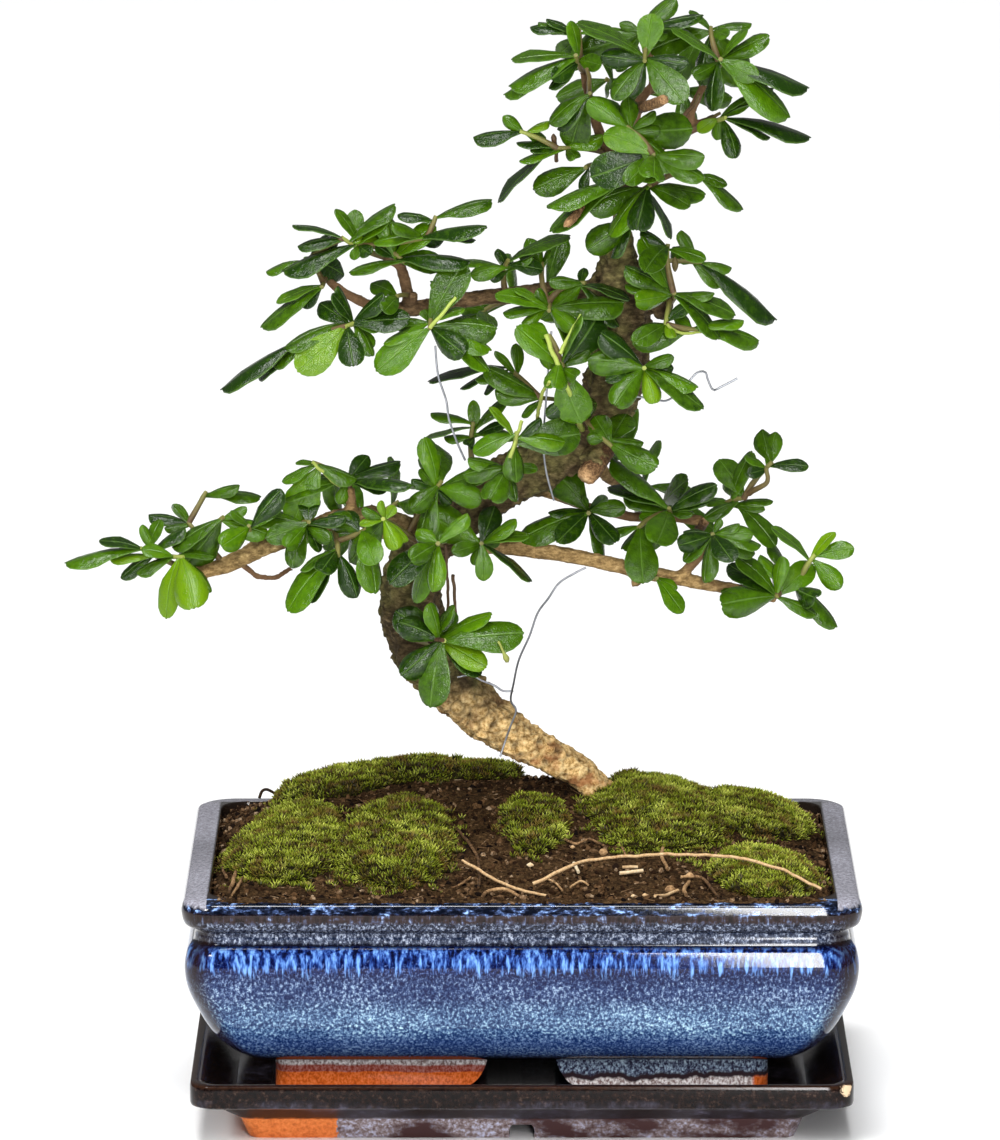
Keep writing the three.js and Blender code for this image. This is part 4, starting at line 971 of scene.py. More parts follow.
def build_spray(name, root, shoots):
    """The mesh of points and chains for one spray. Back shoots have no readings."""
    title = "leaves_" + name
    random = draws(len(title) * 1009 + len(shoots) * 77 + 5)
    habit = draws(len(title) * 331 + int(abs(root[2])) + 17)
    corners = tips_of(title)
    root = Vector(root)
    ends = [Vector(shoot[0]) for shoot in shoots]
    start = clear_start(root, ends[0])
    made = SprayMesh()
    lost = 0
    for i, (_, after, readings) in enumerate(shoots):
        end = ends[i]
        fork = root.lerp(ends[0], 0.6)
        begin = start if i == 0 else fork if after is None else ends[after]
        out = end - begin
        room = out.length * 0.55
        out.normalize()
        if readings is None:
            # The back leaves take a darkish tone, which on this scale is partly painted shade.
            leaves = [(*leaf, 0.25, True) for leaf in rosette(out, random)]
        else:
            leaves = [
                (*leaf_from_reading(x, up, wide, random if tone.isupper() else habit),
                 LEAF_TONES_WITH_PAINTED_LIGHT[tone.upper()], tone.isupper())
                for x, up, wide, tone in rows_of(readings)
            ]
        solid = [leaf for leaf in leaves if leaf[4]]
        spacing = min(LEAF_SPACING, room / len(solid))
        for shoot, x, up, wide, tone in rows_of(INNER_LEAVES.get(name, "")):
            if shoot == i:
                reading = leaf_from_reading(x, up, wide, habit, behind=True)
                leaves.append((*reading, LEAF_TONES_WITH_PAINTED_LIGHT[tone], False))
        for k, (run, width, shown, tone, in_solid) in enumerate(leaves):
            base = end - out * spacing * min(k, len(solid))
            run = run + out * spacing * min(k, len(solid))
            if in_solid:
                run, miss = swung(run, base, corners)
                lost += miss is None
            made.leaf(base, run, width, shown, tone, habit)
        woody = root if i == 0 else begin
        young = max(leaf[3] for leaf in leaves) > 0.8
        made.shoot(woody, end + out * 0.8, (1.25, 0.85), (0.0, 0.75 if young else 0.3), habit)
    return made.mesh(name), lost


all_sprays = [(name, *row) for name, row in SPRAYS.items()]
for name, (root, ends) in BACK_SPRAYS.items():
    all_sprays.append((name, root, [(end, None, None) for end in ends]))
missed = 0
for name, root, shoots in all_sprays:
    mesh, lost = build_spray(name, root, shoots)
    missed += lost
    spray = grow(
        name, mesh, spray_nodes,
        Upper_side=leaf_look.material, Underside=under_look.material, Stem=stem_look.material)
    finish_piece("spray_" + name, spray, "leaf", "leaves_" + name)
print("sprays:", len(all_sprays), "leaves that met no tip:", missed)

# %% [markdown]
# ## Bark
#
# The trunk is old and corky, the branches are smoother and the shoots are slim. One skin has to
# run over all of it without seams, so the wood's solid is wrapped in an even skin of small
# squares. Each point of the skin is told how thick the wood is below it, and a Geometry Nodes
# tree then lifts plates, cracks and knots out of it, high on the trunk and low on a twig.

# %% An even skin over the wood
SKIN_STEP = 0.9  # mm
ROUNDS = 5  # of smoothing
ROUNDING_LOSS = 0.14  # mm that the smoothing takes off a limb


def even_skin(name, mesh, step, rounds):
    """A skin of small squares over a solid, rounded a little."""
    maker = new_object(name, mesh)
    even = maker.modifiers.new("Even skin", "REMESH")
    even.mode = "VOXEL"
    even.voxel_size = step * MM
    maker.modifiers.new("Rounding", "SMOOTH").iterations = rounds
    return plain_mesh(maker)


skin = even_skin("wood_solid", wood_copy, SKIN_STEP, ROUNDS)
print("wood skin:", len(skin.polygons), "faces")

# %% [markdown]
# A ray sent inward from each point of the skin tells how thick the limb is there. A knot is the
# scar of a branch that was cut off: a low rim with a sunken eye. Both are kept on the skin as
# attributes, numbers that each point carries and that the finish and the nodes can read.

# %% How thick the wood is below each point, and where the knots are
KNOTS = [
    # x, y, z, radius, height of the rim, depth of the eye, all in mm
    (-10.7, 13.0, 133.9, 2.6, 0.7, 1.0), (-2.4, 14.9, 125.8, 2.2, 0.6, 0.9),
    (7.0, 16.0, 127.2, 2.6, 0.9, 1.2), (13.8, 18.0, 123.3, 2.8, 0.9, 1.3),
    (17.6, 19.5, 121.1, 2.0, 0.6, 1.0), (22.2, 21.9, 118.6, 2.4, 0.8, 1.1),
    (25.9, 20.5, 115.1, 2.2, 0.7, 1.0), (16.5, 19.0, 113.5, 1.8, 0.5, 1.0),
    (-0.5, 15.9, 121.8, 2.0, 0.6, 0.8), (-13.3, 11.4, 143.1, 2.3, 0.6, 0.8),
    (-19.3, 11.3, 138.1, 2.4, 0.7, 0.8), (8.9, 17.2, 118.8, 1.9, 0.5, 0.9),
    (-31.0, 4.0, 158.0, 3.0, 0.9, 0.8), (-50.4, 10.4, 178.5, 3.4, 1.5, 0.4),
    (-41.8, 5.2, 168.0, 3.2, 1.0, 0.7), (43.8, -8.7, 299.1, 4.0, 1.6, 0.9),
    (53.1, -9.6, 295.4, 4.4, 1.4, 1.0), (36.4, -10.1, 284.3, 4.0, 1.4, 0.9),
    (29.1, -7.9, 261.4, 3.6, 1.2, 0.9), (19.9, 0.3, 233.5, 3.6, 1.2, 0.8),
    (30.9, -12.0, 243.2, 3.2, 1.0, 0.7), (-20.0, 6.0, 214.0, 3.0, 1.0, 0.7),
    (10.0, 4.0, 226.0, 3.0, 1.0, 0.8), (38.0, 24.0, 265.0, 4.0, 1.3, 0.9),
    (-30.0, 31.0, 165.0, 4.0, 1.3, 0.9), (0.0, 30.0, 126.0, 3.4, 0.9, 1.0),
    (34.0, 24.0, 290.0, 3.6, 1.3, 0.9), (-38.0, 28.0, 192.0, 3.4, 1.1, 0.9),
]
THICKEST = 12.0  # mm from the bark to the middle of the trunk
RAY_START = 0.3  # mm below the skin
RAY_REACH = 60  # mm
GIRTH_ROUNDS = 12  # of averaging


def in_mm(mesh):
    """Each point of a mesh, in millimetres round the pot's middle."""
    return [(vertex.co - CENTRE) / MM for vertex in mesh.vertices]


def store(mesh, title, values):
    mesh.attributes.new(title, "FLOAT", "POINT").data.foreach_set("value", values)


def girths(mesh):
    """Half the way through the wood below each point, in millimetres."""
    shell = bmesh.new()
    shell.from_mesh(mesh)
    finder = BVHTree.FromBMesh(shell)
    found = []
    for vertex in mesh.vertices:
        inward = -vertex.normal
        hit = finder.ray_cast(vertex.co + inward * RAY_START * MM, inward, RAY_REACH * MM)
        found.append(THICKEST if hit[3] is None else hit[3] / MM / 2)
    shell.free()
    return np.minimum(np.array(found), THICKEST)


def even_out(mesh, values, rounds):
    """Averages a value over each point's neighbours."""
    flat = np.empty(len(mesh.edges) * 2, dtype=np.int32)
    mesh.edges.foreach_get("vertices", flat)
    first, second = flat.reshape(-1, 2).T
    count = 1 + np.bincount(first, minlength=len(values))
    count += np.bincount(second, minlength=len(values))
    for _ in range(rounds):
        total = values + np.bincount(first, values[second], len(values))
        total += np.bincount(second, values[first], len(values))
        values = total / count
    return values


skin_points = (np.array([vertex.co for vertex in skin.vertices]) - np.array(CENTRE)) / MM
girth = even_out(skin, girths(skin), GIRTH_ROUNDS)
knot_height = np.zeros(len(girth))
knot_eye = np.zeros(len(girth))
for x, y, z, radius, rim, depth in KNOTS:
    away = np.linalg.norm(skin_points - np.array((x, y, z)), axis=1) / radius
    knot_height += rim * np.exp(-((away - 0.8) ** 2) / 0.16) - depth * np.exp(-(away**2) / 0.2)
    knot_eye += np.exp(-(away**2) / 0.3)
store(skin, "girth", girth)
store(skin, "knot_height", knot_height)
store(skin, "knot", np.minimum(knot_eye, 1))
print("girth from", round(girth.min(), 2), "to", round(girth.max(), 2), "mm")

# %% [markdown]
# The bark's colour changes with height and with girth: buff and rust at the foot, dark and olive
# above, warm brown on the branches, darker in the crown, and plain brown twigs. A noise makes
# the border between two of them wander. Cracks and the eyes of knots are darker still.

# %% Finish of the bark
bark_look = Finish("Bark", Roughness=0.85, Specular_IOR_Level=0.15)
spot = bark_look.place()
heights = bark_look.xyz(spot)
wood_girth = bark_look.attribute("girth")
eye = bark_look.attribute("knot")
deep = bark_look.attribute("crack")
fine = bark_look.noise(spot, 700, 6, 0.7)
blotches = bark_look.noise(spot, 95, 4, 0.6)
patches = bark_look.noise(spot, 45, 2)
fibres = bark_look.noise(
    bark_look.vector("MULTIPLY", spot, (1.0, 1.0, 2.2)), 330, 5, 0.75
)
buff = bark_look.ramp(fine, [
    (0.25, (0.13, 0.058, 0.01)), (0.4, (0.4, 0.23, 0.07)), (0.51, (0.78, 0.52, 0.22)),
    (0.66, (1.0, 0.77, 0.4)),
])
rust = bark_look.ramp(fine, [
    (0.3, (0.16, 0.06, 0.02)), (0.5, (0.42, 0.19, 0.07)), (0.75, (0.64, 0.36, 0.16)),
])
low_wood = bark_look.mix(bark_look.between(blotches, 0.52, 0.64), buff, rust)
dark = bark_look.ramp(fibres, [
    (0.25, (0.01, 0.007, 0.003)), (0.45, (0.046, 0.032, 0.013)), (0.62, (0.13, 0.092, 0.044)),
    (0.8, (0.3, 0.22, 0.12)),
])
olive = bark_look.ramp(fibres, [
    (0.3, (0.022, 0.02, 0.005)), (0.6, (0.15, 0.13, 0.045)), (0.8, (0.32, 0.28, 0.12)),
])
high_wood = bark_look.mix(bark_look.between(patches, 0.45, 0.6), dark, olive)
BARE_TOP = 140  # mm, the height at which the pale lower trunk ends
wavy_height = bark_look.ragged(heights[2], blotches, 12, 0.2, 0.8)
upper_share = bark_look.above(wavy_height, BARE_TOP, 13)
trunk_colour = bark_look.mix(upper_share, low_wood, high_wood)
branch_colour = bark_look.ramp(fibres, [
    (0.25, (0.044, 0.025, 0.008)), (0.44, (0.16, 0.098, 0.036)), (0.58, (0.32, 0.21, 0.086)),
    (0.75, (0.54, 0.4, 0.2)),
])
crown_colour = bark_look.ramp(fibres, [
    (0.25, (0.014, 0.008, 0.004)), (0.45, (0.06, 0.035, 0.016)), (0.62, (0.15, 0.092, 0.044)),
    (0.8, (0.3, 0.2, 0.11)),
])
CROWN_FROM = 255  # mm
branch_colour = bark_look.mix(
    bark_look.above(heights[2], CROWN_FROM, 25), branch_colour, crown_colour)
branch_share = bark_look.between(wood_girth, 4.6, 2.6)  # of trunk and branch, by girth in mm
bark_colour = bark_look.mix(branch_share, trunk_colour, branch_colour)
twig_colour = bark_look.mix(fine, (0.05, 0.024, 0.012, 1), (0.26, 0.15, 0.075, 1))
bark_colour = bark_look.mix(bark_look.between(wood_girth, 2.2, 1.4), bark_colour, twig_colour)
bark_colour = bark_look.mix(deep * 0.75, bark_colour, (0.022, 0.014, 0.007, 1))
bark_colour = bark_look.mix(eye * 0.9, bark_colour, (0.03, 0.016, 0.008, 1))
bark_look.set("Base Color", bark_colour)
bark_look.bump(fine + fibres, 0.5, 0.9)
print("bark's finish:", len(bark_look.tree.nodes), "nodes")

# %% [markdown]
# The plates of old bark are the cells of a Voronoi pattern, and the distance to a cell's edge
# gives the cracks. The pattern is bent by a noise first, since real cracks aren't straight. All
# of it is scaled by the girth, so a twig stays smooth.

# %% The tree of nodes that raises the bark
w, given, result = new_tree(
    "Bark", Plate_size=5.5 * MM, Plate_height=1.5 * MM, Crack_depth=1.1 * MM,
    Grain_height=0.75 * MM, Lost_in_rounding=ROUNDING_LOSS * MM, Bark="",
)
spot = w.out("GeometryNodeInputPosition")
thick = w.between(named("girth"), 2.0, 9.0, 0.12, 1.0)
warp = w.out("ShaderNodeTexNoise", {"Vector": spot, "Scale": 160}, output="Color")
bent = w.vector("ADD", spot, w.vector("SCALE", warp, 0.004))
from_crack = w.out(
    "ShaderNodeTexVoronoi", {"Vector": bent, "Scale": 1.0 / given["Plate size"]},
    feature="DISTANCE_TO_EDGE", output="Distance")
edge_share = w.between(from_crack, 0.0, 0.22, 1.0, 0.0)
edge_share = edge_share * edge_share
plates = w.noise(spot, 170, 3, 0.6) - 0.45
grain = w.noise(spot, 620, 3, 0.7) - 0.5
lift = plates * given["Plate height"] * 3.0 - edge_share * given["Crack depth"]
lift = (lift + grain * 2.5 * given["Grain height"]) * thick
lift = lift + named("knot_height") * MM + given["Lost in rounding"]
offset = w.vector("SCALE", w.out("GeometryNodeInputNormal"), lift)
raised = w.mark(given["Geometry"], "crack", edge_share * thick)
raised = w.out("GeometryNodeSetPosition", raised, None, None, offset)
w.plug(w.paint(w.real(w.smooth(raised)), given["Bark"]), result[0])
wood = grow("wood", skin, w, Bark=bark_look.material)
finish_piece("trunk_and_branches_bark", wood, "bark", "trunk_and_branches")

# %% [markdown]
# ## Pot and saucer
#
# Both were pressed in a mould and have rounded corners. Their shape is a profile carried round a
# rounded rectangle, so stacking rings and skinning them gives the wall inside and out in one go.
# The feet are what is left of a ring after arches are cut out of it, which is a job for the
# Boolean modifier, and a Bevel rounds their edges as the glaze does.

# %% Rings and skins
ARC_STEPS = 10  # along the quarter circle of a corner
HOLD = 1.5  # mm from a corner at which a plain side gets a point, so that it is shaded flat


def on_circle(x, y, radius, angle, z):
    return Vector((x + radius * math.cos(angle), y + radius * math.sin(angle), z))


def rounded_rectangle(half_x, half_y, radius, z, side_steps=1):
    """A plan outline, anticlockwise from above, in millimetres."""
    ring = []
    corners = [(half_x, -half_y), (half_x, half_y), (-half_x, half_y), (-half_x, -half_y)]
    for side, (x, y) in enumerate(corners):
        middle = (x - math.copysign(radius, x), y - math.copysign(radius, y))
        for i in range(ARC_STEPS + 1):
            angle = (side - 1 + i / ARC_STEPS) * math.pi / 2
            ring.append(on_circle(*middle, radius, angle, z))
        following = corners[(side + 1) % 4]
        if side % 2:
            end = Vector((following[0] - math.copysign(radius, following[0]), following[1], z))
        else:
            end = Vector((following[0], following[1] - math.copysign(radius, following[1]), z))
        start = ring[-1]
        hold = HOLD / (end - start).length
        shares = [i / side_steps for i in range(1, side_steps)] or [hold, 1 - hold]
        ring.extend(start.lerp(end, share) for share in shares)
    return ring


def skin_rings(name, rings):
    """A closed mesh through a stack of rings in millimetres, with both ends shut."""
    count = len(rings[0])
    points = [place(*point) for ring in rings for point in ring]
    faces = []
    for i in range(len(rings) - 1):
        for k in range(count):
            after = (k + 1) % count
            faces.append((i * count + k, i * count + after,
                          (i + 1) * count + after, (i + 1) * count + k))
    for first, order in ((0, -1), ((len(rings) - 1) * count, 1)):
        middle = len(points)
        points.append(sum(points[first:first + count], Vector()) / count)
        for k in range(count):
            pair = (first + k, first + (k + 1) % count)[::order]
            faces.append((*pair, middle))
    mesh = bpy.data.meshes.new(name)
    mesh.from_pydata(points, [], faces)
    return mesh


def smooth_profile(rows, steps=4):
    """More rows on a smooth line through the given (half width, height) rows."""
    rows = [Vector(row) for row in rows]
    padded = [rows[0], *rows, rows[-1]]
    fine = []
    for i in range(len(rows) - 1):
        before, start, end, after = padded[i:i + 4]
        for k in range(steps):
            t = k / steps
            fine.append(0.5 * (
                2 * start + (end - before) * t
                + (2 * before - 5 * start + 4 * end - after) * t**2
                + (3 * start - before - 3 * end + after) * t**3))
    return [*fine, rows[-1]]


def plate_ring(half, z, full, inset, corner, side_steps=1):
    """A ring of the pot or the saucer. Its corners are rounder the wider it is."""
    radius = max(5, corner - 0.22 * (full - half))
    return rounded_rectangle(half, half - inset, radius, z, side_steps)


# %% Cutters and rounded edges
def cut(body, *tools, operation="DIFFERENCE"):
    """Cuts these meshes out of a mesh, or joins them on."""
    made = new_object("body", body)
    extras = []
    for tool in tools:
        helper = new_object("tool", tool)
        extras.append(helper)
        boolean = made.modifiers.new("Cut", "BOOLEAN")
        boolean.object = helper
        boolean.operation = operation
        boolean.solver = "EXACT"
    mesh = plain_mesh(made)
    for helper in extras:
        bpy.data.objects.remove(helper)
    return mesh


def arch_cutter(bottom, top, low, high, reach, turned):
    """The gap between two feet, with round shoulders. It runs right through."""
    outline = [(-bottom / 2, low - 1), (bottom / 2, low - 1)]
    for side in (1, -1):
        shoulder = []
        for i in range(9):
            t = i / 8
            x = (1 - t)**2 * bottom / 2 + 2 * t * (1 - t) * (top / 2 + 2) + t**2 * top / 2
            z = (1 - t)**2 * (low + 1) + 2 * t * (1 - t) * (low + 3) + t**2 * high
            shoulder.append((side * x, z))
        outline += shoulder[::side]
    rings = []
    for y in (reach, -reach):
        rings.append([Vector((-y, x, z)) if turned else Vector((x, y, z)) for x, z in outline])
    return skin_rings("arch", rings)


def drain(x, radius, low, high):
    """A round plug that bores one of the two drain holes."""
    return skin_rings("drain", [
        [on_circle(x, 0, radius, k * math.pi / 16, z) for k in range(32)] for z in (low, high)])


def bevelled(name, mesh, width, segments, **settings):
    """Rounds the edges by a width in millimetres."""
    made = new_object(name, mesh)
    bevel = made.modifiers.new("Glazed edge", "BEVEL")
    bevel.width = width * MM
    bevel.segments = segments
    bevel.limit_method = "ANGLE"
    for title, value in settings.items():
        setattr(bevel, title, value)
    return plain_mesh(made)


def shade_glazed(mesh):
    """Smooth, but for edges that are sharper than this angle."""
    mesh.shade_smooth()
    mesh.set_sharp_from_angle(angle=math.radians(38))


# %% [markdown]
# The glaze is laid in bands that ran into each other in the kiln: blue low down, then teal, deep
# blue and violet, with bright cobalt drips below the neck and a mottled lip. Near-black bands in
# the creases of the wall are painted shade. Each band is a height in millimetres, blurred a
# little, and noises stretched along the wall make it run. A ramp of four colours salts each band
# with fine dark and pale specks.

# %% Finish of the pot's glaze
glaze = Finish("Blue glaze", Roughness=0.07, Specular_IOR_Level=0.22)
spot = glaze.place()
x, y, z = glaze.xyz(spot)
drips = glaze.noise(glaze.place((1.0, 1.0, 0.16)), 560, 3, 0.65)
wide_drips = glaze.noise(glaze.place((1.0, 1.0, 0.1)), 90, 3, 0.6)
speck = glaze.noise(glaze.place((1.0, 1.0, 0.75)), 980, 3, 0.75)
cloud = glaze.noise(glaze.place((1.0, 1.0, 2.4)), 24, 3, 0.6)
height = glaze.ragged(z, drips, 0.6)


def salted(grain, dark, middle, pale, crystal):
    """A glaze with fine dark and pale specks."""
    return glaze.ramp(grain, [(0.4, dark), (0.49, middle), (0.57, pale), (0.66, crystal)])


specks = speck + glaze.between(cloud, 0.3, 0.7, -0.04, 0.04)
low_blue = salted(
    specks, (0.004, 0.014, 0.07), (0.018, 0.04, 0.13), (0.048, 0.09, 0.21),
    (0.14, 0.22, 0.36))
teal = salted(
    specks, (0.006, 0.018, 0.072), (0.04, 0.084, 0.18), (0.13, 0.225, 0.36),
    (0.4, 0.59, 0.67))
middle_blue = salted(
    specks, (0.001, 0.005, 0.04), (0.013, 0.028, 0.09), (0.056, 0.09, 0.19),
    (0.27, 0.365, 0.48))
violet_blue = salted(
    specks, (0.0, 0.0, 0.014), (0.0, 0.002, 0.034), (0.006, 0.016, 0.074),
    (0.064, 0.098, 0.23))
cobalt = glaze.ramp(drips, [
    (0.4, (0.0, 0.001, 0.014)), (0.48, (0.006, 0.018, 0.11)), (0.55, (0.036, 0.094, 0.3)),
    (0.65, (0.13, 0.27, 0.55)),
])
neck_grey = salted(
    speck, (0.001, 0.005, 0.018), (0.02, 0.027, 0.054), (0.1, 0.122, 0.18),
    (0.34, 0.38, 0.47))
dapple = glaze.noise(glaze.place((0.5, 1.0, 1.3)), 430, 4, 0.7)
lip_mottle = glaze.ramp(dapple, [
    (0.43, (0.0, 0.001, 0.005)), (0.52, (0.007, 0.01, 0.022)), (0.58, (0.03, 0.052, 0.13)),
    (0.66, (0.24, 0.38, 0.68)),
])
low_lip = salted(
    speck, (0.0, 0.0, 0.005), (0.014, 0.018, 0.034), (0.078, 0.092, 0.14),
    (0.26, 0.3, 0.38))
brown = glaze.ramp(dapple * 0.4 + drips * 0.6, [
    (0.4, (0.004, 0.001, 0.001)), (0.53, (0.022, 0.012, 0.012)), (0.59, (0.05, 0.06, 0.11)),
    (0.66, (0.28, 0.36, 0.56)),
])
rim_grey = glaze.ramp(specks, [
    (0.36, (0.13, 0.126, 0.15)), (0.5, (0.225, 0.22, 0.255)), (0.64, (0.34, 0.34, 0.4)),
])
LOWER_BANDS = [
    # from this height, softened by so much, both in mm: this colour
    (37, 3.0, teal), (49, 4.0, middle_blue), (60, 3.0, violet_blue),
]
colour = low_blue
for level, soft, tint in LOWER_BANDS:
    colour = glaze.mix(glaze.above(height, level, soft), colour, tint)
drip_edge = glaze.ragged(z, drips, 3.5, 0.35, 0.65)
colour = glaze.mix(glaze.above(drip_edge, 65, 1.5), colour, cobalt)
# Near-black painted shade. The bands at 71.8 and 77.4 mm lay it in the crease below the shoulder
# and under the flare of the lip.
painted_shade_black = (0.002, 0.002, 0.006, 1)
UPPER_BANDS = [
    (71.8, 0.7, painted_shade_black), (73.2, 0.6, neck_grey), (77.4, 0.4, painted_shade_black),
    (78.4, 0.4, low_lip), (81.6, 0.5, brown), (84.8, 0.4, lip_mottle),
]
for level, soft, tint in UPPER_BANDS:
    colour = glaze.mix(glaze.above(height, level, soft), colour, tint)

# The rim's top is grey at the sides and behind. Below it, inside, the wall is dark.
RIM_SIDES = 115.5 * MM
RIM_BACK = 83 * MM
DEEPER = 30 * MM  # by which the pot is less deep than wide, to each side
beside = abs(x) > RIM_SIDES
behind = y > RIM_BACK
on_rim = glaze.above(height, 87.0, 0.6) * glaze.math("MAXIMUM", beside, behind)
colour = glaze.mix(on_rim, colour, rim_grey)
from_middle = glaze.math("MAXIMUM", abs(x), abs(y) + DEEPER)
inner_wall = glaze.below(from_middle, 115.6, 0.4) * (z > 60 * MM)
colour = glaze.mix(inner_wall, colour, (0.012, 0.008, 0.006, 1))
thin_edge = glaze.attribute("corner") * glaze.below(z, 85, 1)
colour = glaze.mix(thin_edge, colour, (0.01, 0.004, 0.003, 1))
# Near-black where the belly turns under, just above the feet: painted shade.
colour = glaze.mix(glaze.below(z, 27, 1.5), colour, painted_shade_black)

# The feet: maroon and clay on the left, pale blue with a dark pool on the right.
maroon = glaze.ramp(speck, [
    (0.4, (0.2, 0.034, 0.022)), (0.5, (0.3, 0.076, 0.056)), (0.62, (0.4, 0.16, 0.14)),
])
foot_blue = salted(
    speck, (0.02, 0.018, 0.036), (0.08, 0.096, 0.16), (0.24, 0.32, 0.43),
    (0.45, 0.58, 0.68))
pale_line = glaze.ramp(speck, [(0.4, (0.2, 0.13, 0.12)), (0.6, (0.8, 0.76, 0.76))])
clay = glaze.ramp(speck, [
    (0.36, (0.38, 0.06, 0.01)), (0.5, (0.64, 0.12, 0.018)), (0.66, (0.76, 0.2, 0.06)),
])
low_edge = glaze.ragged(z, wide_drips, 0.4)
left_foot = glaze.mix(glaze.above(low_edge, 20.55, 0.35), maroon, pale_line)
left_foot = glaze.mix(glaze.below(low_edge, 17.9, 0.2), left_foot, clay)
pool = glaze.ragged(z, wide_drips, 1.6)
right_foot = glaze.mix(glaze.below(pool, 17.8, 0.6), foot_blue, (0.03, 0.018, 0.022, 1))
right_foot = glaze.mix(glaze.below(pool, 15.6, 0.4), right_foot, pale_line)
end_of_foot = glaze.above(x, 85.7, 0.7) * glaze.below(pool, 15.9, 0.5)
right_foot = glaze.mix(end_of_foot, right_foot, clay)
foot = glaze.mix(x > 0.0, left_foot, right_foot)
colour = glaze.mix(glaze.below(z, 23, 0.2), colour, foot)
glaze.set("Base Color", colour)
glaze.bump(speck + drips * 0.5, 0.02, 0.3)
print("glaze:", len(glaze.tree.nodes), "nodes")

# %% [markdown]
# The wall's outline is read off the photo as half widths at heights, from the foot to the lip
# and down the inside. Between the rows a smooth line is drawn. The block of the feet is hollowed,
# arched on all four sides, bevelled and joined on, and two drain holes go through the floor.

# %% The pot
POT = {"full": 125, "inset": 30, "corner": 13}
POT_OUTSIDE = [
    (91.4, 23), (99.5, 24.6), (107.5, 29.5), (114.5, 37.5), (119.6, 47), (122.9, 55), (124, 62.5),
    (123.2, 68.5), (121.8, 71.2), (120.5, 72.6), (120.3, 74.4), (120.4, 77), (123.8, 79.2),
    (125, 83.5), (124.7, 86.2), (123.7, 88.1), (121.8, 89),
]
POT_INSIDE = [
    (115.6, 89), (114.6, 87.6), (114.2, 72), (113, 58), (106, 42), (96, 34), (84, 30.5),
]
FOOT_RING = 10  # mm, the thickness of the ring that the feet are cut from
ARCH_BOTTOM, ARCH_TOP = 41, 24  # mm, the gap between two feet
DRAIN_PLACE, DRAIN_RADIUS = 48, 6  # mm
outside = smooth_profile(POT_OUTSIDE, 5)
inside = smooth_profile(POT_INSIDE, 4)
body = skin_rings("pot_body", [plate_ring(half, z, **POT) for half, z in [*outside, *inside]])
foot_half, body_bottom = POT_OUTSIDE[0]
foot_depth = foot_half - POT["inset"]
foot_block = skin_rings("foot_block", [
    rounded_rectangle(foot_half, foot_depth, 7, z) for z in (POT_FOOT, body_bottom + 2)])
foot_hollow = skin_rings("foot_hollow", [
    rounded_rectangle(foot_half - FOOT_RING, foot_depth - FOOT_RING, 5, z)
    for z in (POT_FOOT - 1, body_bottom + 3)])
arches = [
    arch_cutter(ARCH_BOTTOM, ARCH_TOP, POT_FOOT, body_bottom + 3, 2 * POT["full"], turned)
    for turned in (False, True)]
feet = bevelled("feet", cut(foot_block, foot_hollow, *arches), 0.9, 3)
body = cut(body, *[drain(side * DRAIN_PLACE, DRAIN_RADIUS, 15, 40) for side in (-1, 1)])
body = cut(body, feet, operation="UNION")
body.materials.clear()
body.materials.append(glaze.material)
shade_glazed(body)

# How much a point lies on one of the four rounded corners, where the glaze ran thin.
corners = []
for vertex in body.vertices:
    flat = vertex.normal.x**2 + vertex.normal.y**2
    share = 4 * (vertex.normal.x * vertex.normal.y) ** 2 / max(flat, 1e-6) ** 2
    corners.append(max(0, share - 0.15) if flat > 0.05 else 0)
store(body, "corner", corners)
finish_piece("glazed_pot", body, "blue_glaze", "pot")

# %% [markdown]
# The saucer is a low tray in a dark brown glaze that turns violet towards its foot. The foot was
# wiped before firing, so it shows pale glaze and bare orange clay. The glaze is dull at the very
# bottom, for a sharp mirror there would repeat every speck of the foot.

# %% Finish of the saucer
tray_look = Finish("Dark brown glaze", Specular_IOR_Level=0.14)
spot = tray_look.place()
x, y, z = tray_look.xyz(spot)
speck = tray_look.noise(spot, 620, 4, 0.7)
clouds = tray_look.noise(tray_look.place((1, 1, 2)), 40, 3, 0.6)
streaks = tray_look.noise(tray_look.place((1, 1, 0.6)), 280, 4, 0.7)
black = tray_look.ramp(speck, [
    (0.4, (0.002, 0.001, 0.001)), (0.58, (0.009, 0.004, 0.003)), (0.72, (0.05, 0.03, 0.022)),
])
violet = tray_look.ramp(streaks, [
    (0.4, (0.01, 0.008, 0.009)), (0.55, (0.032, 0.028, 0.04)), (0.75, (0.11, 0.105, 0.15)),
])
low_band = tray_look.below(z, 13, 2)
violet_share = low_band * tray_look.between(clouds, 0.44, 0.6)
colour = tray_look.mix(violet_share, black, violet)
orange_line = tray_look.above(z, 19, 0.3)
down_again = tray_look.between(z, 19.95 * MM, 20 * MM, 1.0, 0.55)
orange_share = orange_line * down_again * tray_look.between(speck, 0.4, 0.5, 0.5, 1)
colour = tray_look.mix(orange_share, colour, (0.02, 0.008, 0.004, 1))
lavender = tray_look.ramp(speck, [
    (0.35, (0.09, 0.056, 0.056)), (0.5, (0.23, 0.18, 0.18)), (0.65, (0.46, 0.48, 0.64)),
])
foot_clouds = tray_look.noise(tray_look.place((1, 1, 2)), 30, 4, 0.6)
lavender = tray_look.mix(
    tray_look.between(foot_clouds, 0.44, 0.56), lavender, (0.05, 0.022, 0.022, 1))
clay = tray_look.ramp(speck, [
    (0.3, (0.4, 0.09, 0.022)), (0.5, (0.62, 0.17, 0.04)), (0.7, (0.74, 0.24, 0.07)),
])
clay_share = tray_look.below(tray_look.ragged(x, streaks, 2), -68.25, 0.25)
foot = tray_look.mix(clay_share, lavender, clay)
foot_top = tray_look.ragged(z, streaks, 0.6)
colour = tray_look.mix(tray_look.below(foot_top, 3.7, 0.7), colour, foot)
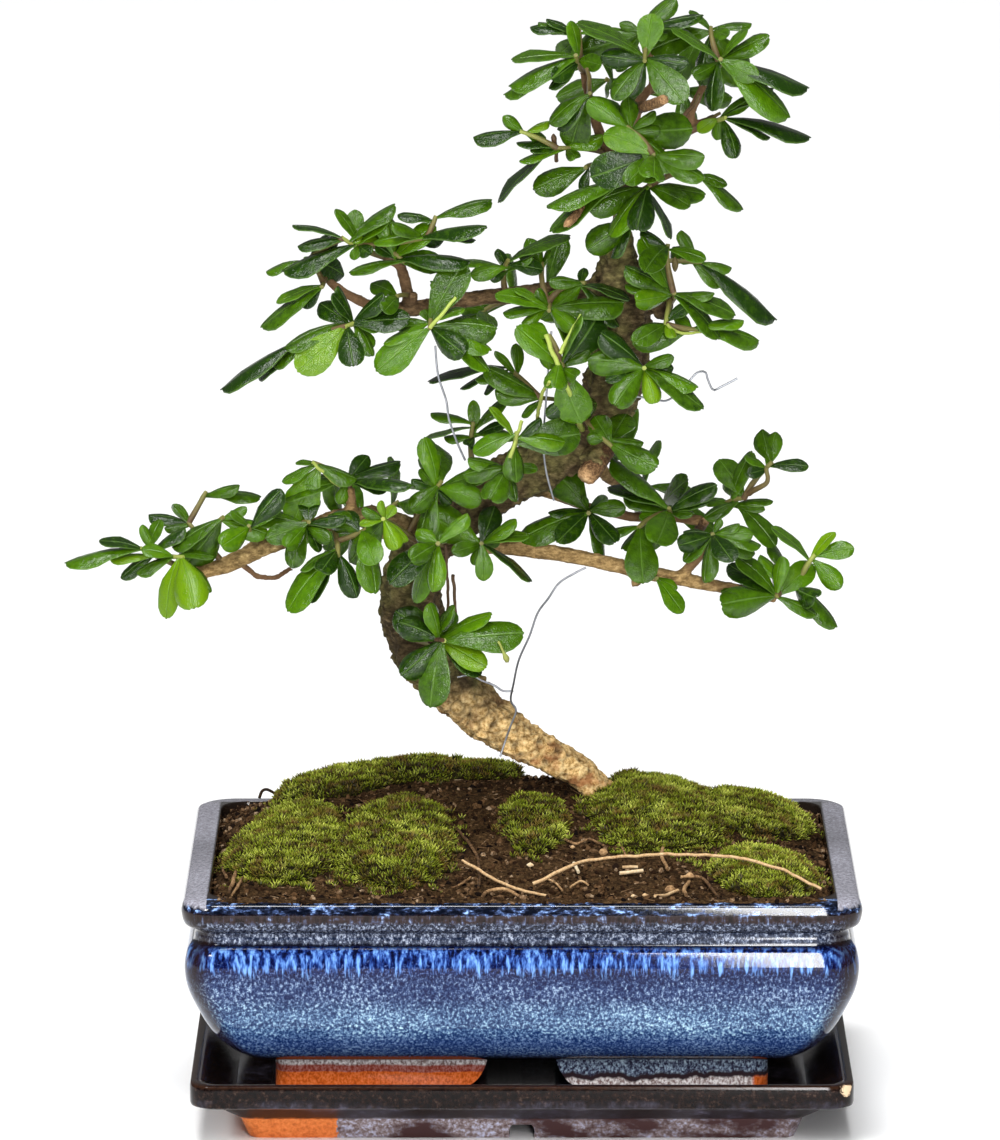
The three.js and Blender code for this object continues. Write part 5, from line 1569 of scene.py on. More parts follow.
CHIP = ((120.1, -91.0, 18.3), 3.0)  # place and radius, in mm, of a chip in the front right corner
from_chip = tray_look.vector("DISTANCE", spot, Vector(CHIP[0]) * MM)
ragged_edge = tray_look.ragged(from_chip, speck, 0.8)
chip_share = tray_look.below(ragged_edge, CHIP[1] - 0.25, 0.25)
colour = tray_look.mix(chip_share, colour, (0.64, 0.47, 0.3, 1))
tray_look.set("Base Color", colour)
DULL_TO, GLOSSY_FROM = 9.5, 11  # mm
tray_look.set("Roughness", tray_look.between(z, DULL_TO * MM, GLOSSY_FROM * MM, 0.38, 0.08))
tray_look.bump(speck, 0.05, 0.4)
print("saucer's finish:", len(tray_look.tree.nodes), "nodes")

# %% [markdown]
# The saucer is built like the pot: one profile for the plate, up its outside and down its inside,
# and a foot ring below it. A hollow and a small notch are cut out of the foot.

# %% The saucer
SAUCER = {"full": 122.25, "inset": 29.45, "corner": 9}
SAUCER_UNDERSIDE = [
    (104.5, 3.4), (113.5, 9.4), (120.8, 11.0), (121.9, 11.6), (122.25, 12.8), (122.25, 18.7),
    (122.0, 19.6), (121.2, 20),
]
SAUCER_INSIDE = [(119.0, 20), (117.8, 19.4), (106, 11)]
SAUCER_BOTTOM = -4.6  # the photo's lower edge is at 0, and the foot goes on below it
SAUCER_FOOT = [(101, SAUCER_BOTTOM), (104.5, 4.4)]
FOOT_WIDTH = 9
NOTCH_BOTTOM, NOTCH_TOP, NOTCH_HIGH = 9, 7, 0.9
profile = [*SAUCER_UNDERSIDE, *SAUCER_INSIDE]
plate = skin_rings("plate", [plate_ring(half, z, **SAUCER) for half, z in profile])
ring_foot = skin_rings("ring_foot", [plate_ring(half, z, **SAUCER) for half, z in SAUCER_FOOT])
hollow_half = SAUCER_FOOT[0][0] - FOOT_WIDTH
hollow = skin_rings("hollow", [
    rounded_rectangle(hollow_half, hollow_half - SAUCER["inset"], 5, z)
    for z in (SAUCER_BOTTOM - 1, 5.5)])
notch = arch_cutter(
    NOTCH_BOTTOM, NOTCH_TOP, SAUCER_BOTTOM, NOTCH_HIGH, 2 * SAUCER["full"], False)
tray = cut(cut(plate, ring_foot, operation="UNION"), hollow, notch)
tray.materials.append(tray_look.material)
tray = bevelled("tray", tray, 0.5, 2, angle_limit=math.radians(35))
shade_glazed(tray)
finish_piece("dark_saucer", tray, "dark_glaze", "saucer")

# %% [markdown]
# ## Soil and moss
#
# The soil is a low mound of dark crumbs. Its top is a skin that rises with the mound and is
# roughened by noise, with crumbs scattered on it. The moss lies on it in cushions. Each cushion
# is covered with several thousand tiny green stars, the tips of its shoots. Both are scattered
# with Geometry Nodes, because no two crumbs and no two stars need to be placed by hand.

# %% Finishes of the soil
soil_look = Finish("Wet soil", Roughness=0.8, Specular_IOR_Level=0.06)
spot = soil_look.place()
grains = soil_look.noise(spot, 800, 6, 0.75)
lumps = soil_look.noise(spot, 130, 3, 0.6)
earth = soil_look.ramp(grains * 0.7 + lumps * 0.3, [
    (0.32, (0.004, 0.002, 0.001)), (0.48, (0.022, 0.011, 0.004)), (0.6, (0.085, 0.048, 0.02)),
    (0.72, (0.24, 0.145, 0.075)),
])
soil_look.set("Base Color", earth)
soil_look.bump(grains, 0.8, 1.0)
crumb_look = Finish("Soil crumbs", Roughness=0.85, Specular_IOR_Level=0.06)
crumb_tone = crumb_look.attribute("crumb_tone")
crumb_grain = crumb_look.noise(crumb_look.place(), 1500, 3)
crumb_look.set("Base Color", crumb_look.ramp(
    crumb_tone + crumb_look.between(crumb_grain, 0.3, 0.7, -0.1, 0.1), [
        (0.0, (0.002, 0.001, 0.001)), (0.45, (0.018, 0.008, 0.003)), (0.8, (0.08, 0.042, 0.018)),
        (0.97, (0.15, 0.092, 0.05)), (1.0, (0.25, 0.18, 0.115)),
    ]))
crumb_look.bump(crumb_grain, 0.3, 0.8)
print("finishes of the soil:", soil_look.material.name, "and", crumb_look.material.name)

# %% [markdown]
# The top of the soil is a formula: a mound that is highest behind the middle. The same formula
# tells the moss where it comes out of the soil. Rings from the wall to the middle give enough
# points for the small lumps, which are two noises added to the height.

# %% The soil's shape
SOIL_EDGE = 87  # mm, the soil's height at the wall
MOUND = 20  # mm, how much the mound is higher
MOUND_RIDGE = 45  # mm behind the middle
MOUND_REACH = {"across": 115, "front": 135, "back": 50}
MOUND_SLANT = 0.03
MOSS = {
    # middle and half widths of each patch, in mm
    "moss_back_left": [(-70, 44, 25, 20), (-42, 54, 27, 20), (-16, 52, 17, 14)],
    "moss_left": [(-88, -20, 22, 43), (-47, -28, 23, 40)],
    "moss_centre": [(5, -9, 13, 26)],
    "moss_right": [(52, 10, 29, 42), (90, 32, 21, 38)],
    "moss_front_right": [(90, -50, 21, 29)],
}


def soil_height(x, y):
    """Height of the soil: a mound with its ridge behind the middle."""
    sideways = 1 - min(1, abs(x / MOUND_REACH["across"])) ** 3
    reach = MOUND_REACH["front"] if y < MOUND_RIDGE else MOUND_REACH["back"]
    along = math.cos(math.pi / 2 * min(1, abs(y - MOUND_RIDGE) / reach)) ** 2
    return SOIL_EDGE + (MOUND - MOUND_SLANT * x) * sideways * along


def roughness_of_soil(x, y):
    coarse = noise.fractal(Vector((x / 14, y / 14, 3)), 1.0, 2.0, 3)
    return 1.1 * coarse + 0.5 * noise.noise(Vector((x / 2.4, y / 2.4, 8)))


SURFACE_RINGS = 66
WALL_GAP = 0.4  # mm between the soil and the wall
SOIL_SIDE_STEPS = 60
SUNK, SUNK_WIDTH = 1.5, 1 / 40  # mm by which the soil sinks at the wall, and the share of its way
SURFACE_DEPTH = 2.5  # mm below the edge's height, down to which a point counts as the top
wall = []
for i, (half, z) in enumerate(POT_INSIDE[:1:-1]):
    lifted = z + (0 if i else WALL_GAP)
    wall.append(plate_ring(half - WALL_GAP, lifted, **POT, side_steps=SOIL_SIDE_STEPS))
edge_ring = plate_ring(POT_INSIDE[2][0] - WALL_GAP, 0, **POT, side_steps=SOIL_SIDE_STEPS)
top = []
for i in range(SURFACE_RINGS):
    share = 1 - i / SURFACE_RINGS
    ring = []
    for point in edge_ring:
        x, y = point.x * share, point.y * share
        z = soil_height(x, y) - SUNK * math.exp(-(1 - share) / SUNK_WIDTH)
        ring.append(Vector((x, y, z + min(1, i) * roughness_of_soil(x, y))))
    top.append(ring)
soil = skin_rings("soil_skin", [*wall, *top])
soil.materials.append(soil_look.material)
soil.shade_smooth()


def under_moss(x, y):
    """Below 1 inside a patch of moss."""
    nearest = 9.0
    for patches in MOSS.values():
        for px, py, rx, ry in patches:
            nearest = min(nearest, math.hypot((x - px) / rx, (y - py) / ry))
    return nearest


def limited(value):
    return min(1, max(0, value))


# Crumbs lie where no moss is.
bare = [
    limited((under_moss(x, y) - 0.85) * 6) if z > SOIL_EDGE - SURFACE_DEPTH else 0
    for x, y, z in in_mm(soil)]
store(soil, "bare", bare)
print("soil:", len(soil.polygons), "faces")

# %% [markdown]
# Crumbs are dented little balls and bits are thin splinters. Both are scattered by one function:
# points on the bare soil, a copy of the shape on each, turned and sized at random. The seeds are
# fixed, so the soil looks the same every time.

# %% The tree of nodes that scatters crumbs and bits of root
w, given, result = new_tree(
    "Soil crumbs", Crumbs_per_square_metre=230000.0, Smallest=0.25, Largest=1.05,
    Crumb_size=1.4 * MM, Bits_per_square_metre=36000.0, Bit_length=5.0 * MM, Seed=4, Crumb="",
)


def random_value(seed, low, high):
    """A random number, or a random vector where the limits are vectors."""
    vector = isinstance(low, tuple)
    node = w.add("FunctionNodeRandomValue", data_type="FLOAT_VECTOR" if vector else "FLOAT")
    first = 0 if vector else 2
    w.plug(low, node.inputs[first])
    w.plug(high, node.inputs[first + 1])
    node.inputs["Seed"].default_value = seed
    return Value(w, next(socket for socket in node.outputs if socket.enabled))


def sprinkle(density, seed_shift, shape, rotation, scale, tone):
    """Copies of a shape on the bare soil, each with a tone."""
    spread = w.out("GeometryNodeDistributePointsOnFaces", {
        "Mesh": given["Geometry"], "Density": named("bare") * density,
        "Seed": given["Seed"] + seed_shift})
    copies = w.out("GeometryNodeInstanceOnPoints", {
        "Points": spread, "Instance": shape, "Rotation": rotation, "Scale": scale})
    return w.mark(copies, "crumb_tone", tone, "INSTANCE")


def cone(corners, segments, top, bottom):
    """A cone one unit high."""
    return w.out("GeometryNodeMeshCone", {
        "Vertices": corners, "Side Segments": segments, "Fill Segments": 1,
        "Radius Top": top, "Radius Bottom": bottom, "Depth": 1.0})


ball = w.out(
    "GeometryNodeMeshIcoSphere", {"Radius": given["Crumb size"], "Subdivisions": 1}, output="Mesh")
dent = w.vector("SCALE", w.out("GeometryNodeInputPosition"), random_value(21, 0.55, 1.35))
lump = w.out("GeometryNodeSetPosition", ball, None, dent)
size = random_value(11, given["Smallest"], given["Largest"])
stretch = random_value(0, (0.5, 0.5, 0.35), (1.6, 1.1, 1.0))
crumbs = sprinkle(
    given["Crumbs per square metre"], 0, lump,
    random_value(2, (0.0, 0.0, 0.0), (6.3, 6.3, 6.3)),
    w.vector("SCALE", stretch, size * size), random_value(5, 0.0, 1.0))
bits = sprinkle(
    given["Bits per square metre"], 7, cone(4, 2, 0.02, 0.06),
    random_value(31, (1.1, -0.3, 0.0), (1.9, 0.3, 6.3)),
    random_value(32, 0.35, 1.0) * given["Bit length"], random_value(33, 0.55, 1.02))
w.plug(w.paint(w.real(crumbs, bits), given["Crumb"]), result[0])
print("crumb tree:", len(w.tree.nodes), "nodes")

# %% [markdown]
# Some soil lies on the front of the pot's rim, where it was heaped up when the tree was potted.
# It is a low ridge: an uneven oval carried along the rim, which thins out at both ends.

# %% Soil that was heaped on the front of the rim
SPILL_STEP = 2
SPILL_SIDES = 10
SPILL_END = 113
SPILL_TAPER = 6
SPILL_AT = (-88.8, 88.9)  # across the rim, and its height
spill_rings = []
for x in range(1 - SPILL_END, SPILL_END, SPILL_STEP):
    end = min(1, (SPILL_END - abs(x)) / SPILL_TAPER)
    reach = end * (3.5 + 0.8 * noise.noise(Vector((x / 7, 2, 5))))
    rise = end * (0.75 + 0.35 * noise.noise(Vector((x / 4, 9, 1))))
    turns = [k * 2 * math.pi / SPILL_SIDES for k in range(SPILL_SIDES)]
    spill_rings.append([
        Vector((x, SPILL_AT[0] + reach * math.cos(turn), SPILL_AT[1] + rise * math.sin(turn)))
        for turn in turns])
spill = skin_rings("spill", spill_rings)
store(spill, "bare", [1.0] * len(spill.vertices))
spill.materials.append(soil_look.material)
spill.shade_smooth()
both = bmesh.new()
both.from_mesh(soil)
both.from_mesh(spill)
ground = soil.copy()
both.to_mesh(ground)
both.free()
crumbs = grow("crumbs", ground, w, Crumb=crumb_look.material)
finish_piece("soil_mound", soil, "soil", "soil")
finish_piece("soil_on_rim", spill, "soil")
finish_piece("soil_crumbs", crumbs, "soil")

# %% [markdown]
# Moss is yellow-green at its tips, and parts of it have withered to brown. Between the tips it is
# painted nearly black, as painted shade. The colour comes from each star's own tone, from two
# noises, and from how far up the star a point is, which gives the painted shade.

# %% Finishes of the moss
moss_look = Finish("Moss tips", Roughness=0.55, Specular_IOR_Level=0.2)
moss_tone = moss_look.attribute("moss_tone")
tip = moss_look.attribute("tip")
moss_patches = moss_look.noise(moss_look.place(), 70, 5, 0.7)
mixed = moss_tone * 0.4 + moss_look.between(moss_patches, 0.35, 0.65, 0.16, 0.56)
moss_x = moss_look.xyz(moss_look.place())[0]
mixed = mixed + moss_look.between(moss_x, 0.0, 0.05, -0.01, 0.05)
moss_colour = moss_look.ramp(mixed, [
    (0.3, (0.08, 0.04, 0.01)), (0.43, (0.14, 0.122, 0.008)), (0.58, (0.25, 0.33, 0.006)),
    (0.86, (0.76, 0.82, 0.13)),
])
withered = moss_look.noise(moss_look.place(), 95, 4, 0.7) + moss_tone * 0.1
moss_colour = moss_look.mix(
    moss_look.between(withered, 0.58, 0.68, 0.0, 0.85), moss_colour, (0.21, 0.098, 0.024, 1))
# Low on each star the colour goes nearly black: painted shade between the tips.
moss_look.set("Base Color", moss_look.mix(
    moss_look.between(tip, 0.25, 1.0, 0.98, 0.0), moss_colour, (0.01, 0.009, 0.001, 1)))
# The cushion under the stars is nearly black as well: painted shade.
cushion_look = Finish("Moss below its tips", Roughness=0.9, Specular_IOR_Level=0.1)
cushion_grain = cushion_look.noise(cushion_look.place(), 700, 5, 0.7)
cushion_look.set("Base Color", cushion_look.ramp(cushion_grain, [
    (0.35, (0.003, 0.002, 0.001)), (0.55, (0.014, 0.011, 0.002)), (0.75, (0.06, 0.055, 0.006)),
]))
cushion_look.bump(cushion_grain, 0.8, 1.0)
print("moss:", len(moss_look.tree.nodes), "nodes in its finish")

# %% [markdown]
# A star is a ring of splinters that lean outward, each at its own angle. One star is made once
# and then set on thousands of points, upright for the most part and a little towards the light.
# The cushion below swells unevenly, so that its outline isn't a smooth dome.

# %% The tree of nodes that covers a cushion with shoot tips
w, given, result = new_tree(
    "Moss tips", Tips_per_square_metre=560000.0, Tip_height=1.75 * MM, Smallest=0.4, Largest=1.45,
    Unevenness=2.0 * MM, Star_leaves=5, Keep_cushion=1.0, Seed=9, Tip="", Cushion="",
)
spot = w.out("GeometryNodeInputPosition")
swell = w.noise(spot, 210, 4, 0.65) - 0.5
swell = swell * 3.0 * given["Unevenness"]
lifted = w.vector("SCALE", w.out("GeometryNodeInputNormal"), swell * named("open_air"))
swollen = w.out("GeometryNodeSetPosition", given["Geometry"], None, None, lifted)
swollen = w.smooth(swollen)

tip_mark = w.xyz(w.out("GeometryNodeInputPosition"))[2]
splinter = w.mark(cone(3, 1, 0.0, 0.22), "tip", tip_mark)
round_points = w.out(
    "GeometryNodeMeshCircle", {"Vertices": given["Star leaves"], "Radius": 0.16})
outward = w.vector("SCALE", w.out("GeometryNodeInputPosition"), 6.2)
lean = w.out("ShaderNodeCombineXYZ", {"Z": random_value(3, 0.35, 1.7)})
tilt = w.out("FunctionNodeAlignRotationToVector", {"Vector": w.vector("ADD", outward, lean)},
             axis="Z")
star = w.real(w.out("GeometryNodeInstanceOnPoints", {
    "Points": round_points, "Instance": splinter, "Rotation": tilt}))

spread = w.add("GeometryNodeDistributePointsOnFaces", {
    "Mesh": swollen, "Density": named("open_air") * given["Tips per square metre"],
    "Seed": given["Seed"]})
upright = w.out("FunctionNodeAlignRotationToVector", {
    "Rotation": random_value(0, (-0.3, -0.3, 0), (0.3, 0.3, 6.3)),
    "Vector": w.vector("ADD", spread.outputs["Normal"], (0.0, -0.15, 0.7)), "Factor": 0.8},
    axis="Z")
size = random_value(0, given["Smallest"], given["Largest"])
scattered = w.out("GeometryNodeInstanceOnPoints", {
    "Points": spread.outputs["Points"], "Instance": star, "Rotation": upright,
    "Scale": size * given["Tip height"]})
shaded = w.mark(scattered, "moss_tone", random_value(5, 0.0, 1.0), "INSTANCE")
is_tip = w.mark(shaded, "is_tip", 1.0, "INSTANCE")
kept = w.out("GeometryNodeDeleteGeometry", swollen, given["Keep cushion"] < 0.5)
covered = w.paint(w.real(kept, is_tip), given["Cushion"])
w.plug(w.paint(covered, given["Tip"], named("is_tip")), result[0])
print("moss tree:", len(w.tree.nodes), "nodes")
moss_nodes = w

# %% [markdown]
# Each cushion starts as the solid's own shape. Only what is above the soil, in open air, gets
# stars, and that is stored on its points before the tree runs.

# %% The cushions of moss
CUSHION_STEP = 1.7  # mm
CUSHION_ROUNDS = 4
MOSS_FINISHES = {"Tip": moss_look.material, "Cushion": cushion_look.material}
for seed, name in enumerate(MOSS, start=9):
    cushion = even_skin(name + "_solid", node_copy(name), CUSHION_STEP, CUSHION_ROUNDS)
    store(cushion, "open_air", [
        1.0 if z > soil_height(x, y) + 0.4 else 0.0 for x, y, z in in_mm(cushion)])
    grown = grow(name, cushion, moss_nodes, Seed=seed, **MOSS_FINISHES)
    finish_piece(name + "_tips", grown, "moss", name)

# %% [markdown]
# Between the cushions the moss is thin and strays over the soil. The same tree covers a copy of
# the soil with fewer stars and leaves the soil itself out.

# %% Thin moss between the cushions
MOSS_RANGE = 1.12  # how far moss strays from a cushion, as a share of the cushion's size
BARE_GROUND = [
    # middle and half widths, in mm
    (4, -64, 36, 24), (52, -66, 36, 18), (-46, 22, 42, 11), (106, 10, 9, 40), (0, -84, 125, 10),
]
thin_ground = soil.copy()
strays = []
for x, y, z in in_mm(thin_ground):
    edge = MOSS_RANGE + 0.4 * noise.noise(Vector((x / 7, y / 7, 4)))
    kept_bare = min(math.hypot((x - px) / rx, (y - py) / ry) for px, py, rx, ry in BARE_GROUND)
    mossy = z > SOIL_EDGE - SURFACE_DEPTH and kept_bare > 1
    strays.append(limited((edge - under_moss(x, y)) * 5) if mossy else 0)
store(thin_ground, "open_air", strays)
thin = grow("thin_moss", thin_ground, moss_nodes, Unevenness=0.0, Keep_cushion=0.0, Seed=31,
            Tips_per_square_metre=340000.0, **MOSS_FINISHES)
finish_piece("thin_moss_tips", thin, "moss")

# %% [markdown]
# ## Roots, wires and shoots
#
# All of these are thin and follow a path. A chain of points with a radius at each is enough: one
# Geometry Nodes tree bends the chain into a smooth curve and draws a tube along it.

# %% The tree of nodes that draws tubes
w, given, result = new_tree("Tube", Sides=8, Step=1.2 * MM, Crookedness=0.0, Finish="")
chain = w.out("GeometryNodeMeshToCurve", given["Geometry"])
chain = w.out("GeometryNodeCurveSplineType", chain, spline_type="CATMULL_ROM")
chain = w.out("GeometryNodeResampleCurve", {"Curve": chain, "Length": given["Step"]},
              mode="LENGTH")
wobble = w.out("ShaderNodeTexNoise", {
    "Vector": w.out("GeometryNodeInputPosition"), "Scale": 140}, output="Color")
shake = w.vector("SUBTRACT", wobble, (0.5, 0.5, 0.5))
crooked = w.out("GeometryNodeSetPosition", chain, None, None,
                w.vector("SCALE", shake, given["Crookedness"]))
tubes = w.real(w.tubes(crooked, given["Sides"]))
w.plug(w.paint(tubes, given["Finish"]), result[0])
print("tube tree:", len(w.tree.nodes), "nodes")
tube_nodes = w


def chain_mesh(name, runs):
    """Runs of (x, y, z, radius, tone) rows in millimetres, as chains of edges."""
    points, edges, radii, tones = [], [], [], []
    for run in runs:
        first = len(points)
        for x, y, z, radius, tone in run:
            points.append(place(x, y, z))
            radii.append(radius * MM)
            tones.append(tone)
        edges += [(k, k + 1) for k in range(first, len(points) - 1)]
    mesh = bpy.data.meshes.new(name)
    mesh.from_pydata(points, edges, [])
    store(mesh, "stem_radius", radii)
    store(mesh, "tone", tones)
    return mesh


def read_table(table):
    return {name: [rows_of(run) for run in runs] for name, runs in table.items()}


def draw_tubes(table, look, slot, ending="", rest=(), **sizes):
    """A piece of tubes for each name in a table. With an ending, it stands for a solid.

    The rest is what the rows of the table leave out, the same for all.
    """
    for name, runs in table.items():
        runs = [[(*row, *rest) for row in run] for run in runs]
        tubes = grow(name, chain_mesh(name, runs), tube_nodes, Finish=look.material, **sizes)
        finish_piece(name + ending, tubes, slot, *([name] if ending else []))


# %% [markdown]
# Two dry roots lie on the soil, kinked and pale. A noise shakes their path a little. Their colour
# goes by a tone from nearly black to straw, which the sticks and seeds further down use as well.

# %% Dry roots on the soil
root_look = Finish("Dry root", Roughness=0.8, Specular_IOR_Level=0.2)
root_grain = root_look.noise(root_look.place(), 900, 5, 0.7)
root_tone = root_look.attribute("tone")
root_share = root_tone + root_look.between(root_grain, 0.3, 0.7, -0.22, 0.22)
root_look.set("Base Color", root_look.ramp(root_share, [
    (0.0, (0.012, 0.007, 0.003)), (0.25, (0.08, 0.04, 0.016)), (0.5, (0.33, 0.195, 0.09)),
    (0.75, (0.5, 0.35, 0.19)), (1.0, (0.58, 0.49, 0.34)),
]))
root_look.bump(root_grain, 0.2, 0.7)
ROOT_TONE = 0.62
ROOTS = read_table({
    # x, y, z, radius in mm
    "dry_root_long": [
        "4 -68 91 0.7; 10 -66 93 0.7; 16 -62 95 0.7; 25 -56 97 0.6; 44 -52 98 0.6; 62 -52 98 0.6; "
        "77 -55 98 0.6; 93 -62 96 0.6; 102 -68 93 0.6; 110 -74 90 0.6",
    ],
    "dry_root_short": [
        "-22 -52 96 0.5; -16 -58 94 0.6; -12 -63 92 0.6; -3 -72 90 0.6; 10 -78 88.5 0.5",
    ],
})
draw_tubes(ROOTS, root_look, "dry_root", "_bark", (ROOT_TONE,), Crookedness=1.8 * MM)

# %% [markdown]
# Thin soft wires pull the branches down until they stay by themselves. They are smooth metal, so
# nothing shakes them, and they have the same radius all along.

# %% Guy wires
wire_look = Finish("Grey wire", Metallic=1.0, Roughness=0.42)
wire_tarnish = wire_look.noise(wire_look.place(), 400, 3)
wire_look.set("Base Color", wire_look.mix(
    wire_tarnish, (0.14, 0.15, 0.17, 1), (0.4, 0.41, 0.44, 1)))
WIRE_RADIUS = 0.4  # mm
WIRES = read_table({
    # x, y, z in mm
    "guy_wire_right": [
        "24 -13 199; 20 -13 197; 14 -12 193; 10 -11 187; 6 -9 181; 3 -7 172; -1 -3 162; -3 1 152; "
        "-4 5 145; -2 6 141; -4 7 135; -6 8 129; -8 7 123",
        "-24 4 154; -19 3 155; -15 3 153; -10 3 151; -7 3 149; -3 3 149",
    ],
    "guy_wire_left": [
        "-32 -16 283; -31 -15 272; -28 -13 262; -27 -12 255; -24 -11 246; -21 -10 239",
    ],
    "guy_wire_middle": [
        "11 -13 288; 10 -16 278; 9 -19 263; 8 -17 248; 9 -14 236; 12 -11 224",
    ],
    "loose_wire": [
        "42 -22 265; 49 -21 264; 53 -20 263; 57 -19 265; 62 -17 270; 65 -16 273; 68 -15 273; "
        "69 -14 270; 71 -13 266; 74 -12 267; 80 -11 270",
    ],
})
draw_tubes(WIRES, wire_look, "wire", "_strand", (WIRE_RADIUS, 0.0))

# %% [markdown]
# ## Small things that a gardener leaves
#
# Cut stubs, last year's twigs, soft new shoots, buds and the litter on the soil are what make a
# real tree look grown. Each is a short path with a radius and a tone at every point, so the tube
# tree makes them all.

# %% Stubs, twigs and new shoots
TWIGS = read_table({
    # x, y, z, radius in mm, and tone from brown 0 to green 1
    "old_twigs": [
        "84.5 2 224.5 1.2 0; 89.6 -3 228.4 1 0.1; 91.8 -4 230.5 0.9 0.1; 91 -5 235.2 0.8 0.2",
        "-28.6 3 204.6 0.7 0; -27.5 7 188.7 0.6 0; -28 15 171.9 0.5 0",
        "-25.6 3 193.2 0.7 0; -24.9 7 179.9 0.6 0; -25 14 166.3 0.5 0",
        "24.4 -7 373.6 1 0; 24.7 -18 380.9 0.9 0.1; 23.9 -25 387.7 0.7 0.1",
        "13 -2 350 0.8 0; 12.7 -6 355.5 0.7 0; 11.9 -8 359.5 1.1 0; 11.7 -8 361.4 0.2 0",
        "62.4 5 360.7 1 0; 68.3 2 364.5 0.8 0.1; 73.4 0 367.7 0.6 0.1",
        "58.7 4 364.6 0.9 0; 62.7 2 369.3 0.8 0; 65.9 -2 374.7 0.6 0.1",
        "56.8 -2 309 0.5 0.1; 56.8 -4 311.6 1.3 0.1; 56.8 -4 313.6 0.9 0.1; "
        "56.8 -4 314.6 0.2 0.1",
    ],
    "new_shoots": [
        "-33.9 -27 291.4 0.8 0.9; -29.4 -27 297 0.7 1; -24.6 -26 302.5 0.6 1",
        "22.5 -5 249.6 1.1 0.7; 19.7 -22 260 1 0.9; 16.6 -34 270.2 0.9 1; 12.6 -35 280.4 0.9 1; "
        "8.9 -35 290.1 0.9 1",
        "14 -35 282.7 0.8 1; 18.1 -34 290.3 0.8 1; 22.1 -31 297.3 0.7 1",
        "0.5 -22 256.2 0.7 0.9; -2.1 -27 249.6 0.7 0.9; -4.4 -30 243.3 0.8 0.7",
        "-77.3 -20 239.7 0.6 0.9; -72.6 -17 234.7 0.7 0.9; -67.5 -14 230 0.8 0.6",
        "53.4 -32 293.4 0.6 0.9; 58.3 -29 290.3 0.6 0.9; 66.5 -25 289.6 0.5 0.9",
        "9.9 -48 275.1 0.6 0.8; 6.7 -34 265.7 0.7 0.7; 6 -20 253.6 0.7 0.5",
        "-8.8 -37 175.5 0.5 0.6; -6.6 -38 172.3 0.5 0.6; -5.5 -38.6 169.5 1.2 0.5; "
        "-5.1 -39 167.8 0.6 0.4",
    ],
})
draw_tubes(TWIGS, stem_look, "bark", Sides=9, Step=0.8 * MM, Crookedness=2.2 * MM)

# %% [markdown]
# What lies on the soil gives the scene its scale: short roots, two pale sticks and a few seeds.
# The cut stubs of the branches are made with them, as they have the same dry colours. A seed is a
# very short tube that is thick in its middle.

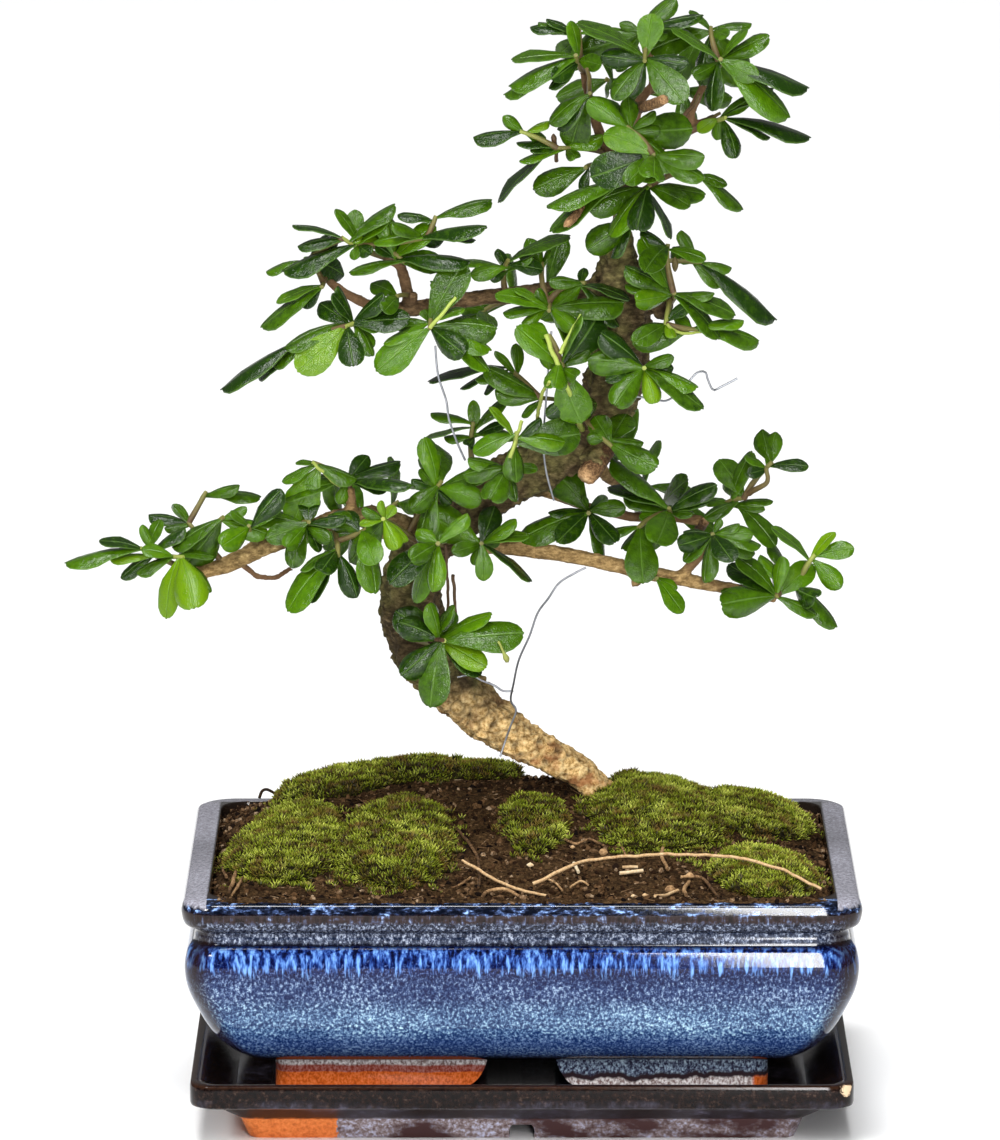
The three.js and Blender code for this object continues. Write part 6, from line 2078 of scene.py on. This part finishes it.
# %% Litter on the soil
LITTER = read_table({
    # x, y, z, radius in mm, and tone from black 0 to straw 1
    "cut_stubs": [
        "32 -6 245 4.4 0.15; 28 -13 239 4.2 0.2; 24 -18 234.5 3.8 0.35; 23.4 -18.8 233.6 2.6 0.6; "
        "23.2 -19 233.4 0.3 0.6",
        "29 -10 342 1.8 0.1; 23 -26 337.5 1.7 0.2; 17 -37 331.6 1.5 0.4; "
        "16.8 -37.4 331.3 0.3 0.7",
        "40 -1 369 2.2 0.15; 45.6 -26 373.8 2.1 0.25; 51.4 -49 379 1.9 0.35; "
        "51.6 -49.6 379.2 0.3 0.7",
        "66.6 15 208.5 1.9 0.1; 69 8 213.2 1.7 0.3; 69.2 7.4 213.5 0.3 0.6",
        "-34 -14 171 0.9 0.1; -34 -20 173 0.9 0.1; -29.2 -35 175.8 0.8 0.2",
    ],
    "pale_sticks": [
        "36 -54 91.6 0.7 0.85; 40.4 -52.5 91.8 0.7 0.8; 44.9 -51.5 92 0.7 0.9",
        "37.1 -48 92.6 0.6 0.6; 43.1 -47.5 92.6 0.6 0.75",
        "19.4 -45 93.6 0.7 1; 20.8 -54 91.8 0.6 0.9",
        "-106.1 -40 90.2 0.5 0.2; -106.7 -58.5 89.6 0.8 0.4; -107.7 -75 88.9 0.5 0.2",
        "-103.2 -52.5 90 0.4 0.2; -104.6 -66 89.4 0.6 0.4; -106.4 -79.5 89 0.4 0.3",
        "-111.6 -30 89 0.4 0.2; -109.5 -50 89.4 0.6 0.3",
    ],
    "fallen_roots": [
        "-14.6 -86 89.6 0.7 0.2; -12.5 -76 89.6 0.7 0.4; -6.2 -75 90.2 0.7 0.5; "
        "0 -86 89.6 0.6 0.3",
        "-26 -11.5 101 0.6 0.1; -20.7 -25 98 0.6 0.2; -16.2 -42 94.2 0.6 0.2; "
        "-15.8 -69 89.6 0.5 0.1",
        "-19.1 -58.5 91 0.5 0.3; -22.1 -65 90.2 0.5 0.3; -25.7 -69.5 89.6 0.4 0.2",
        "58.8 -57 90.6 0.6 0.5; 65.9 -56.5 90.8 0.6 0.3; 70 -72 89.6 0.6 0.2; "
        "71.9 -84.5 89.8 0.5 0.2",
        "61.7 -61 90 0.7 0.35; 59.7 -72 89.4 0.8 0.45; 60.1 -84.5 90 0.6 0.35",
        "53.6 -20.5 97.4 0.6 0.3; 52.2 -35.5 94.6 0.7 0.4; 54.2 -49 92 0.7 0.35",
        "-100.8 82 91.3 0.6 0; -99.6 82 94.1 0.6 0; -97.3 82 94.4 0.6 0; -93.8 82 92.5 0.5 0",
        "14.4 -20.5 98.4 0.5 0.2; 19.9 -27 97 0.5 0.3; 25.5 -23.5 97.8 0.5 0.3; "
        "31.1 -28.5 96.2 0.5 0.2",
        "35.3 -21 98 0.4 0.4; 37.4 -29.5 96 0.5 0.3; 38.8 -36.5 94.4 0.4 0.3",
        "48.8 -84.5 90 0.6 0.6; 52.5 -79 89 0.6 0.7; 57.4 -72 89.2 0.6 0.6",
        "8.6 -58.5 91 0.4 0.6; 12.6 -64.5 90.2 0.4 0.5; 14.8 -72.5 89.2 0.4 0.4",
        "17.7 -69 89.6 0.4 0.5; 21.5 -62.5 90.6 0.4 0.6; 24.4 -66.5 90 0.4 0.5",
    ],
})
SEEDS = [
    # x, y, z, radius, tone
    (3.1, -46, 93, 1.2, 0.85), (30.3, -34.5, 95.4, 1.7, 0.45), (18.8, -29.5, 96.2, 0.9, 0.6),
    (40.8, -81.5, 89.2, 0.9, 0.8), (45.1, -83, 89.6, 1.0, 0.6), (54.5, -72, 89.4, 1.9, 0.4),
    (-14.4, -38, 94.8, 0.7, 0.6), (62.2, -54.5, 91, 1.4, 0.5), (25.4, -40, 94, 0.6, 0.7),
    (33.1, -77.5, 89, 0.6, 0.5), (11.3, -27.5, 97, 0.7, 0.5),
]
SEED_SHAPE = [(-1, 0.2), (-0.5, 0.8), (0.5, 0.8), (1, 0.2)]  # shares of the seed's radius
LITTER["seeds"] = [
    [(x + along * radius, y, z, thick * radius, tone) for along, thick in SEED_SHAPE]
    for x, y, z, radius, tone in SEEDS]
draw_tubes(LITTER, root_look, "dry_root", Step=0.8 * MM, Crookedness=1.2 * MM)
